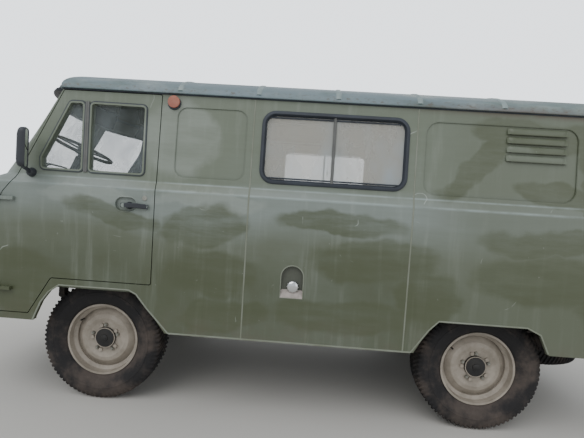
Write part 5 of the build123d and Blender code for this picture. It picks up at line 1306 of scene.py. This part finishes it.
# Places ahead of the front axle, and heights
doorValues = {"leverHeight": 1.216, "leverX": -0.195, "recess": (-0.1775, 1.221), "recessHalf": 0.0215,
              "recessRadius": 0.0435, "lock": (frontAxle - 0.286, 1.262), "sideHandle": (-0.520, 1.150),
              "leverPath": ((-0.150, 0.970, 0.0), (-0.157, 0.982, 0.0), (-0.185, 0.989, 0.001),
                            (-0.250, 0.9915, 0.002), (-0.300, 0.989, -0.001), (-0.314, 0.984, -0.003)),
              "sideLever": ((0.006, -0.028, 0.012), (0.02, -0.031, 0.012), (0.07, -0.031, 0.010),
                            (0.120, -0.026, 0.006))}


def buildDoors():
    values = doorValues
    for name, side in sides:
        body = f"cab_door_{name}"
        lever = bmesh.new()
        z = values["leverHeight"]
        path = [(frontAxle + x, side * y, z + up) for x, y, up in values["leverPath"]]
        section = bothSides((-0.0130, -0.007), (-0.0135, 0.000), (-0.010, 0.0035))
        sweepInto(lever, path, (0, side, 0), section, closed=False)
        turnInto(lever, [(0.021, 0.0), (0.021, 0.010), (0.016, 0.022), (0.0145, 0.028)],
                 (frontAxle + values["leverX"], side * 0.953, z), (0, side, 0), 28)
        finishPiece(f"cab_door_lever_{name}", lever, "plastic", body)
        outline = []
        half, radius = values["recessHalf"], values["recessRadius"]
        middle, up = values["recess"]
        for k in range(32):
            turn = 2 * math.pi * k / 32
            shift = half if math.cos(turn) > 0 else -half
            outline.append((frontAxle + middle + shift + radius * math.cos(turn),
                            up + radius * math.sin(turn)))
        if side < 0:
            outline.reverse()
        sweepPiece(f"handle_recess_rim_{name}", [sidePoint(x, z, 0, side) for x, z in outline],
                   (0, side, 0), bothSides((-0.004, -0.003), (-0.003, 0.001), (0, 0.0022)), "body", body,
                   60)
        lock = bmesh.new()
        spot = sidePoint(*values["lock"], 0, side)
        turnInto(lock, [(0.0145, -0.003), (0.0145, 0.002), (0.0125, 0.004), (0.0095, 0.004),
                        (0.009, 0.0025), (0, 0.0025)], spot, (0, side, 0), 28)
        blockInto(lock, spot + Vector((-0.0012, side * 0.0015 - 0.002, -0.005)),
                  spot + Vector((0.0012, side * 0.0015 + 0.002, 0.005)), 0.0004)
        finishPiece(f"cab_door_lock_{name}", lock, "zinc", body)
        buildMirror(name, side, body)
    handle = bmesh.new()
    spot = sidePoint(*values["sideHandle"], 0, -1)
    blockInto(handle, spot + Vector((-0.022, -0.007, -0.038)), spot + Vector((0.022, 0.001, 0.038)), 0.003)
    turnInto(handle, [(0.015, 0), (0.015, 0.014), (0.011, 0.020), (0.011, 0.028)],
             spot + Vector((0, 0, 0.012)), (0, -1, 0), 24)
    sweepInto(handle, [spot + Vector(point) for point in values["sideLever"]], (0, -1, 0),
              bothSides((-0.010, -0.005), (-0.010, 0.002), (-0.006, 0.005)), closed=False)
    finishPiece("side_door_handle", handle, "plastic", "side_door")
    buildFiller()


fillerValues = {"x": frontAxle - 1.158, "half": 0.065, "low": 0.747, "top": 0.935, "depth": 0.0272,
                "capX": frontAxle - 1.163, "capZ": 0.812, "capRadius": 0.0335, "grips": 12}


def fillerArch(inset):
    values = fillerValues
    x, half = values["x"], values["half"] - inset
    arch = [(x - half, values["low"] + inset), (x + half, values["low"] + inset)]
    crown = values["top"] - values["half"]
    return arch + [(x + half * math.cos(math.pi * k / 14), crown + half * math.sin(math.pi * k / 14))
                   for k in range(15)]


def buildFiller():
    values = fillerValues
    radius = values["capRadius"]
    cap = bmesh.new()
    centre = (values["capX"], levelAt(0.848)[1] - 0.028, values["capZ"])
    turnInto(cap, [(radius - 0.001, 0.002), (radius, 0.008), (radius, 0.017), (radius - 0.002, 0.0215),
                   (radius - 0.008, 0.0245), (0.014, 0.0275), (0, 0.0285)], centre, (0, 1, 0), 48)
    for k in range(values["grips"]):
        turn = 2 * math.pi * k / values["grips"]
        turnInto(cap, [(0.0035, 0.004), (0.0035, 0.0165), (0.002, 0.0185)],
                 (centre[0] + radius * math.cos(turn), centre[1], centre[2] + radius * math.sin(turn)),
                 (0, 1, 0), 8)
    piece = finishPiece("filler_cap_domed", cap, "chrome")
    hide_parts("filler_caps")
    sweepPiece("filler_recess_rim", [sidePoint(x, z, 0, 1) for x, z in fillerArch(0)], (0, 1, 0),
               bothSides((-0.003, -0.004), (-0.003, 0.0008), (0, 0.0022)), "seam", "van_body", 60)
    lining = bmesh.new()
    mouth = [lining.verts.new(sidePoint(x, z, -0.0030, 1)) for x, z in fillerArch(0.0008)]
    wall = [lining.verts.new(sidePoint(x, z, -values["depth"] * 0.72, 1)) for x, z in fillerArch(0.0012)]
    floor = [lining.verts.new(sidePoint(x, z, -values["depth"], 1)) for x, z in fillerArch(0.0100)]
    bridge(lining, [mouth, wall, floor])
    lining.faces.new(floor)
    bmesh.ops.recalc_face_normals(lining, faces=lining.faces)
    bmesh.ops.solidify(lining, geom=lining.faces[:], thickness=0.0005)
    finishPiece("filler_recess_lining", lining, "bumper")
    lip = bmesh.new()
    half = values["half"] - 0.0018
    rings = []
    for outer, inner in ((0.001, 0.001), (0.009, 0.046)):
        corners = ((-1, outer, 0.0004), (1, outer, 0.0004), (1, inner, -0.0250), (-1, inner, -0.0250))
        rings.append([lip.verts.new(sidePoint(values["x"] + end * half, values["low"] + up, out, 1))
                      for end, up, out in corners])
    skinInto(lip, rings)
    finishPiece("filler_recess_lip", lip, "chipped")


buildDoors()
print("door furniture built")


# Cushions: upholstered forms, crowned between their seams
cushionValues = {"crown": 0.016, "corner": 9, "roll": 0.30, "pull": 0.009, "belly": 0.007, "groove": 0.007,
                 "piping": 0.0042, "wrinkle": 0.0022}


def marks(count, channels, groove):
    # evenly spread places with a closer set at each channel
    places = {-1 + 2 * k / count for k in range(count + 1)}
    for channel in channels:
        places = {p for p in places if abs(p - channel) > groove * 1.3}
        places |= {channel + groove * step for step in (-1.2, -0.5, 0, 0.5, 1.2)}
    return sorted(places)


def cushionInto(mesh, frameMatrix, length, width, thick, channels=(), fill=1.0, grain=0.0):
    values = cushionValues
    groove = 0.012 / (length / 2)
    us = marks(22, channels, groove)
    vs = marks(16, (), 0.1)
    halfU, halfV = length / 2, width / 2

    def spread(u, v, out):
        peak = max(abs(u), abs(v))
        power = values["corner"]
        shrink = peak / (abs(u) ** power + abs(v) ** power) ** (1 / power) if peak else 1.0
        pullU = values["pull"] * (1 - v * v) * abs(u) ** 3
        pullV = values["pull"] * (1 - u * u) * abs(v) ** 3
        x = u * shrink * (halfU - values["piping"]) - math.copysign(pullU, u)
        y = v * shrink * (halfV - values["piping"]) - math.copysign(pullV, v)
        return x + math.copysign(out, u) * abs(u) ** 6, y + math.copysign(out, v) * abs(v) ** 6

    def lift(u, v):
        crown = values["crown"] * fill * (1 - u**2) ** 0.5 * (1 - v**2) ** 0.5
        roll = values["roll"]
        peak = max(abs(u), abs(v))
        edge = max(0.0, (peak - 1 + roll) / roll)
        drop = 0.014 * (1 - math.sqrt(max(0.0, 1 - edge * edge)))
        dent = sum(math.exp(-(((u - c) / groove) ** 2)) for c in channels) * values["groove"] * (1 - v**6)
        bellies = 0.0
        if channels:
            stops = [-1, *channels, 1]
            for low, high in zip(stops, stops[1:]):
                if low <= u <= high:
                    bellies = 0.005 * (1 - ((2 * u - low - high) / (high - low)) ** 2) * (1 - v**8)
        folds = noise.noise(Vector((u * halfU * 9 + grain, v * halfV * 9, grain * 3))) * values["wrinkle"]
        return crown - drop - dent + bellies + folds * (1 - peak**4)

    top = [[mesh.verts.new(frameMatrix @ Vector((*spread(u, v, 0), thick / 2 - 0.012 + lift(u, v))))
            for v in vs] for u in us]
    under = [[mesh.verts.new(frameMatrix @ Vector((*spread(u, v, 0), -thick / 2))) for v in vs] for u in us]
    for grid in (top, under):
        for i in range(len(us) - 1):
            for j in range(len(vs) - 1):
                mesh.faces.new((grid[i][j], grid[i + 1][j], grid[i + 1][j + 1], grid[i][j + 1]))
    rim = [(i, 0) for i in range(len(us))] + [(len(us) - 1, j) for j in range(1, len(vs))]
    rim += [(i, len(vs) - 1) for i in range(len(us) - 2, -1, -1)]
    rim += [(0, j) for j in range(len(vs) - 2, 0, -1)]
    rows = [[top[i][j] for i, j in rim]]
    for step in range(1, 5):
        share = step / 5
        row = []
        for i, j in rim:
            x, y = spread(us[i], vs[j], values["belly"] * math.sin(math.pi * share))
            z = (thick / 2 - 0.026) * (1 - share) - thick / 2 * share
            row.append(mesh.verts.new(frameMatrix @ Vector((x, y, z))))
        rows.append(row)
    rows.append([under[i][j] for i, j in rim])
    bridge(mesh, rows)
    up = frameMatrix.to_3x3() @ Vector((0, 0, 1))
    for row in (rows[0], rows[-1]):
        sweepInto(mesh, [v.co.copy() for v in row], up, circleSection(values["piping"], 8))
    bmesh.ops.recalc_face_normals(mesh, faces=mesh.faces)


def softPiece(name, node, parts):
    mesh = bmesh.new()
    for number, (centre, turn, size, channels) in enumerate(parts):
        cushionInto(mesh, Matrix.Translation(centre) @ turn, *size, channels=channels,
                    grain=number + len(name))
    piece = finishPiece(name, mesh, "vinyl", "van_body", 50)
    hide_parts(node)
    return piece


# A seat: places ahead of the front axle, half spread, height, and length, width, thickness
seatValues = {"seat": ((0.006, 1.0665), (0.464, 0.324, 0.112)),
              "back": ((-0.212, 1.385), (0.464, 0.508, 0.106)), "spread": 0.565,
              "channels": (-0.5, 0.0, 0.5)}
benchValues = {"runs": (("left", 1, -2.018, 0.679, 4), ("right", -1, -2.018, -0.646, 2)), "spread": 0.665,
               "height": 1.0955, "gap": 0.006, "width": 0.366, "thick": 0.070,
               "channels": (-0.6, -0.2, 0.2, 0.6)}


def buildCushions():
    flat = Matrix.Rotation(0, 4, "X")
    upright = Matrix.Rotation(math.pi / 2, 4, "Y")
    lengthways = Matrix.Rotation(math.pi / 2, 4, "Z")
    for name, side in sides:
        parts = []
        for part, turn in (("seat", lengthways), ("back", upright @ lengthways)):
            (ahead, height), size = seatValues[part]
            centre = (frontAxle + ahead, side * seatValues["spread"], height)
            parts.append((centre, turn, size, seatValues["channels"]))
        softPiece(f"cab_seat_{name}", "cab_cushions", parts)
    values = benchValues
    for name, side, low, high, count in values["runs"]:
        span = (high - low) / count
        size = (span - values["gap"], values["width"], values["thick"])
        parts = []
        for k in range(count):
            centre = (low + span * (k + 0.5), side * values["spread"], values["height"])
            parts.append((centre, flat, size, values["channels"]))
        softPiece(f"bench_pads_{name}", "bench_cushions", parts)


# Gauges: place across, height, radius; levers and pedals: points from foot to knob
cabValues = {
    "dashFace": frontAxle + 0.560,
    "gauges": ((0.43, 1.285, 0.050), (0.315, 1.290, 0.032), (0.545, 1.290, 0.032), (0.23, 1.275, 0.022)),
    "switches": (0.12, 0.06, 0.00, -0.06, -0.12),
    "switchHeight": 1.290,
    "grabRail": ((0.004, -0.30, 1.335), (-0.030, -0.31, 1.337), (-0.038, -0.36, 1.338),
                 (-0.038, -0.66, 1.338), (-0.030, -0.71, 1.337), (0.004, -0.72, 1.335)),
    "gearLever": ((1.30, 0.272, 1.045), (1.31, 0.283, 1.10), (1.335, 0.290, 1.22), (1.345, 0.290, 1.31)),
    "handbrake": ((1.18, 0.285, 0.735), (1.20, 0.290, 0.90), (1.25, 0.293, 1.06), (1.265, 0.293, 1.13)),
    "pedals": ((0.335, 0.83), (0.475, 0.83), (0.575, 0.80)),
    "pedalTilt": -28,
    "visorCentre": (1.470, 0.40, 1.806),
    "visorTilt": 70,
    "visorSize": (0.40, 0.13, 0.022),
    "wheelTilt": 24,
    "wheelCentre": (1.575, 0.430, 1.567),
}


def buildCab():
    values = cabValues
    dash = bmesh.new()
    face = values["dashFace"]
    for y, z, radius in values["gauges"]:
        turnInto(dash, [(radius, -0.004), (radius + 0.003, 0.004), (radius, 0.010), (radius - 0.005, 0.010),
                        (radius - 0.006, 0.003), (0, 0.003)], (face, y, z), (-1, 0, 0), 32)
    finishPiece("dashboard_gauges", dash, "bakelite")
    knobs = bmesh.new()
    for y in values["switches"]:
        turnInto(knobs, [(0.005, -0.002), (0.005, 0.014), (0.011, 0.016), (0.012, 0.024), (0.009, 0.028),
                         (0, 0.029)], (face, y, values["switchHeight"]), (-1, 0, 0), 16)
    blockInto(knobs, (face - 0.004, -0.66, 1.215), (face + 0.001, -0.36, 1.315), 0.002)
    blockInto(knobs, (face - 0.010, -0.53, 1.290), (face - 0.003, -0.49, 1.305), 0.002)
    finishPiece("dashboard_switches", knobs, "bakelite")
    sweepPiece("passenger_grab_rail", [(face + x, y, z) for x, y, z in values["grabRail"]], (0, 0, 1),
               circleSection(0.009, 10), "blackSteel", "van_body", 50, closed=False)
    lever = bmesh.new()
    sweepInto(lever, values["gearLever"], (0, 1, 0), circleSection(0.0075, 10), closed=False)
    turnInto(lever, [(0.008, -0.012), (0.018, 0.000), (0.021, 0.016), (0.016, 0.030), (0, 0.036)],
             (1.346, 0.290, 1.312), (0.1, 0, 1), 24)
    turnInto(lever, [(0.044, 0.0), (0.040, 0.012), (0.034, 0.014), (0.032, 0.026), (0.024, 0.028),
                     (0.020, 0.042), (0.010, 0.048)], (1.30, 0.274, 1.030), (0.1, 0.35, 1), 24)
    finishPiece("gear_lever", lever, "bakelite")
    brake = bmesh.new()
    sweepInto(brake, values["handbrake"], (0, 1, 0), bothSides((-0.011, -0.004), (-0.011, 0.004)),
              closed=False)
    turnInto(brake, [(0.012, 0), (0.014, 0.02), (0.014, 0.10), (0.010, 0.112), (0, 0.116)],
             (1.262, 0.293, 1.12), (0.2, 0, 1), 16)
    finishPiece("handbrake_lever", brake, "bakelite")
    pedals = bmesh.new()
    tilt = Matrix.Rotation(math.radians(values["pedalTilt"]), 4, "Y")
    for y, low in values["pedals"]:
        arm = ((1.792, y, 1.06), (1.790, y, 0.96), (1.762, y, low + 0.045))
        sweepInto(pedals, arm, (0, 1, 0), bothSides((-0.007, -0.005), (-0.007, 0.005)), closed=False)
        blockInto(pedals, (1.745, y - 0.030, low), (1.757, y + 0.030, low + 0.080), 0.004, tilt)
        for k in range(5):
            height = low + 0.013 + 0.0135 * k
            x = 1.738 + 0.0070 * (2 - k)
            blockInto(pedals, (x, y - 0.027, height - 0.002), (x + 0.007, y + 0.027, height + 0.002),
                      0.0008)
    finishPiece("pedals", pedals, "bakelite")
    for name, side in sides:
        visor = bmesh.new()
        x, y, z = values["visorCentre"]
        lean = Matrix.Rotation(math.radians(values["visorTilt"]), 4, "Y")
        turned = Matrix.Translation((x, side * y, z)) @ lean @ Matrix.Rotation(math.pi / 2, 4, "Z")
        cushionInto(visor, turned, *values["visorSize"], fill=0.2, grain=side * 2)
        piece = finishPiece(f"sun_visor_{name}", visor, "vinyl", "van_body", 50)
        rod = bmesh.new()
        sweepInto(rod, [Vector((1.447, side * y, 1.872)) for y in (0.18, 0.40, 0.60)], (0, 0, 1),
                  circleSection(0.005, 8), closed=False)
        for y in (0.19, 0.59):
            height = roofHeight(side * y, levels[-1][1] - 0.042, roofValues["thick"])
            blockInto(rod, (1.438, side * y - 0.012, 1.866), (1.456, side * y + 0.012, height + 0.004), 0.003)
        finishPiece(f"sun_visor_rod_{name}", rod, "zinc")
    tilt = math.radians(values["wheelTilt"])
    axis = Vector((-math.sin(tilt), 0, math.cos(tilt)))
    turnPiece("horn_button", [(0.036, 0.000), (0.038, 0.010), (0.034, 0.022), (0.022, 0.029),
                              (0.010, 0.0315), (0, 0.032)], Vector(values["wheelCentre"]) - axis * 0.004,
              axis, 40, "bakelite", "steering_wheel", 40)


wardValues = {"rails": (-0.22, 0.22), "railHeight": 1.935, "railPath": (-1.93, -0.6, 0.60),
              "hangers": (-1.90, -1.10, -0.30, 0.55), "lamps": (-1.30, -0.10), "lampHeight": 1.995,
              "matHalf": 0.455, "matHeight": 0.7245, "matEnds": (-2.00, 0.66), "ridge": 0.022,
              "panes": ((-0.318, 0.020, 0.6825), (-0.020, 0.318, 0.6875)),
              "bows": (frontAxle - 0.902, frontAxle - 1.354, frontAxle - 1.810, frontAxle - 2.276),
              "bowHalf": 0.84}


def buildWard():
    values = wardValues
    rails = bmesh.new()
    height = values["railHeight"]
    for y in values["rails"]:
        path = [(x, y, height) for x in values["railPath"]]
        sweepInto(rails, path, (0, 0, 1), circleSection(0.011, 12), closed=False)
        for x in values["hangers"]:
            turnInto(rails, [(0.015, -0.014), (0.015, 0.014)], (x, y, height), (1, 0, 0), 16)
            turnInto(rails, [(0.007, 0), (0.007, 0.064), (0.020, 0.066), (0.020, 0.075)], (x, y, height),
                     (0, 0, 1), 12)
    finishPiece("ward_grab_rails", rails, "zinc", "van_body", 50)
    lamp = bmesh.new()
    for x in values["lamps"]:
        turnInto(lamp, [(0.075, 0.018), (0.075, 0.000), (0.068, -0.004), (0.062, -0.006), (0.058, -0.020),
                        (0.040, -0.030), (0, -0.034)], (x, 0, values["lampHeight"]), (0, 0, 1), 40)
    finishPiece("ward_ceiling_lamps", lamp, "lens")
    y = -values["matHalf"]
    section = [(y, -0.0015)]
    while y < values["matHalf"] - 0.003:
        section += [(y, 0.0015), (y + 0.005, 0.0045), (y + 0.012, 0.0045), (y + 0.017, 0.0015)]
        y += values["ridge"]
    section.append((values["matHalf"], -0.0015))
    sweepPiece("ward_floor_mat", [(x, 0, values["matHeight"]) for x in values["matEnds"]], (0, 0, 1),
               section, "mat", "van_body", 30, closed=False)
    cover = bmesh.new()
    outline = dense(rounded(rectangle(-0.31, 0.31, 1.43, 1.69), 0.05), 0.2)
    for x, out in ((0.677, -1), (0.693, 1)):
        path = [Vector((x, y, z)) for y, z in outline]
        sweepInto(cover, path, (out, 0, 0), bothSides((-0.016, 0.0005), (-0.012, 0.006), (0, 0.008)))
    finishPiece("partition_window_rubber", cover, "rubber", "van_body", 50)
    pane = bmesh.new()
    for low, high, x in values["panes"]:
        blockInto(pane, (x - 0.0018, low, 1.422), (x + 0.0018, high, 1.698), 0.0005)
    finishPiece("partition_window_panes", pane, "filmAndReflectionGlass", "van_body", 30)
    bars = bmesh.new()
    for x in values["bows"]:
        path = []
        for k in range(21):
            y = values["bowHalf"] * (k / 10 - 1)
            path.append(Vector((x, y, roofHeight(y, levels[-1][1] - 0.042, roofValues["thick"]) - 0.006)))
        sweepInto(bars, path, (0, 0, -1), bothSides((-0.020, -0.020), (-0.020, 0.004), (-0.014, 0.009)),
                  closed=False)
    finishPiece("ward_roof_bows", bars, "inside")


underValues = {"springY": 0.372, "boltSpread": 0.045, "boltHalf": 0.040, "boltTop": 0.452, "boltFoot": 0.315,
               "straps": (-0.28, 0.11), "tankY": (0.404, 0.852), "tankZ": (0.4985, 0.698),
               "hangers": (-0.38, -0.04), "pipe": (0.236, 0.470)}


def buildUnderbody():
    values = underValues
    half = values["boltHalf"]
    bolts = bmesh.new()
    for axle in (frontAxle, rearAxle):
        for side in (1, -1):
            y = side * values["springY"]
            for x in (axle - values["boltSpread"], axle + values["boltSpread"]):
                path = [(x, y + half, values["boltFoot"])]
                for k in range(13):
                    turn = math.pi * k / 12
                    path.append((x, y + half * math.cos(turn), values["boltTop"] + 0.030 * math.sin(turn)))
                path.append((x, y - half, values["boltFoot"]))
                sweepInto(bolts, path, (1, 0, 0), circleSection(0.006, 8), closed=False)
            blockInto(bolts, (axle - 0.075, y - 0.055, 0.322), (axle + 0.075, y + 0.055, 0.332), 0.003)
    finishPiece("spring_clamp_bolts", bolts, "blackSteel")
    straps = bmesh.new()
    for side in (1, -1):
        for x in values["straps"]:
            low, high = sorted(side * y for y in values["tankY"])
            outline = rounded(rectangle(low, high, *values["tankZ"]), 0.012, 3)
            sweepInto(straps, [Vector((x, y, z)) for y, z in dense(outline, 0.2)], (1, 0, 0),
                      bothSides((-0.0015, -0.018), (-0.0015, 0.018)))
    finishPiece("tank_straps", straps, "bumper")
    clamps = bmesh.new()
    for x in values["hangers"]:
        turnInto(clamps, [(0.0835, -0.012), (0.0860, -0.010), (0.0860, 0.010), (0.0835, 0.012)],
                 (x, *values["pipe"]), (1, 0, 0), 40)
        blockInto(clamps, (x - 0.012, 0.226, 0.550), (x + 0.012, 0.246, 0.62), 0.003)
    finishPiece("exhaust_hangers", clamps, "blackSteel")


buildCushions()
buildCab()
buildWard()
buildUnderbody()
print("cushions, cab, ward and underbody built")


# Floor, world and soft lights
lights = {"floor": "C6C3BD", "sky": "E4E9EE", "skyStrength": 1.0, "backdrop": 2.6, "sunPower": 1.25,
          "sunWidth": 50, "sunFrom": (2.5, 4.5, 6.0), "fillPower": 55}


def buildStage():
    mesh = bpy.data.meshes.new("floor")
    size = 60
    mesh.from_pydata([(-size, -size, 0), (size, -size, 0), (size, size, 0), (-size, size, 0)], [],
                     [(0, 1, 2, 3)])
    ground = bpy.data.objects.new("studio_floor", mesh)
    scene.collection.objects.link(ground)
    material, tree, shader, place = newMaterial("pale_matt_floor", 0.85)
    shader.inputs["Base Color"].default_value = hexColour(lights["floor"])
    mesh.materials.append(material)
    world = bpy.data.worlds.new("studio")
    scene.world = world
    world.use_nodes = True
    tree = world.node_tree
    background = tree.nodes["Background"]
    background.inputs["Color"].default_value = hexColour(lights["sky"])
    # seen directly the backdrop is nearly white, while it lights the van softly
    seen = addNode(tree, "ShaderNodeLightPath", output="Is Camera Ray")
    strength = addNode(tree, "ShaderNodeMath",
                       {0: seen, 1: lights["backdrop"] - lights["skyStrength"], 2: lights["skyStrength"]},
                       operation="MULTIPLY_ADD")
    tree.links.new(strength, background.inputs["Strength"])
    target = Vector((0, 0, 1.0))
    for name, kind, place in (("key", "SUN", lights["sunFrom"]), ("fill", "AREA", (-5.0, 6.0, 3.0)),
                              ("back", "AREA", (-2.0, -6.0, 5.0))):
        data = bpy.data.lights.new(name, kind)
        if kind == "SUN":
            data.energy = lights["sunPower"]
            data.angle = math.radians(lights["sunWidth"])
        else:
            data.energy = lights["fillPower"]
            data.size = 5.0
        lamp = bpy.data.objects.new(name, data)
        scene.collection.objects.link(lamp)
        facing = (target - Vector(place)).to_track_quat("-Z", "Y").to_matrix().to_4x4()
        lamp.matrix_world = Matrix.Translation(place) @ facing


buildStage()
print("stage lit")
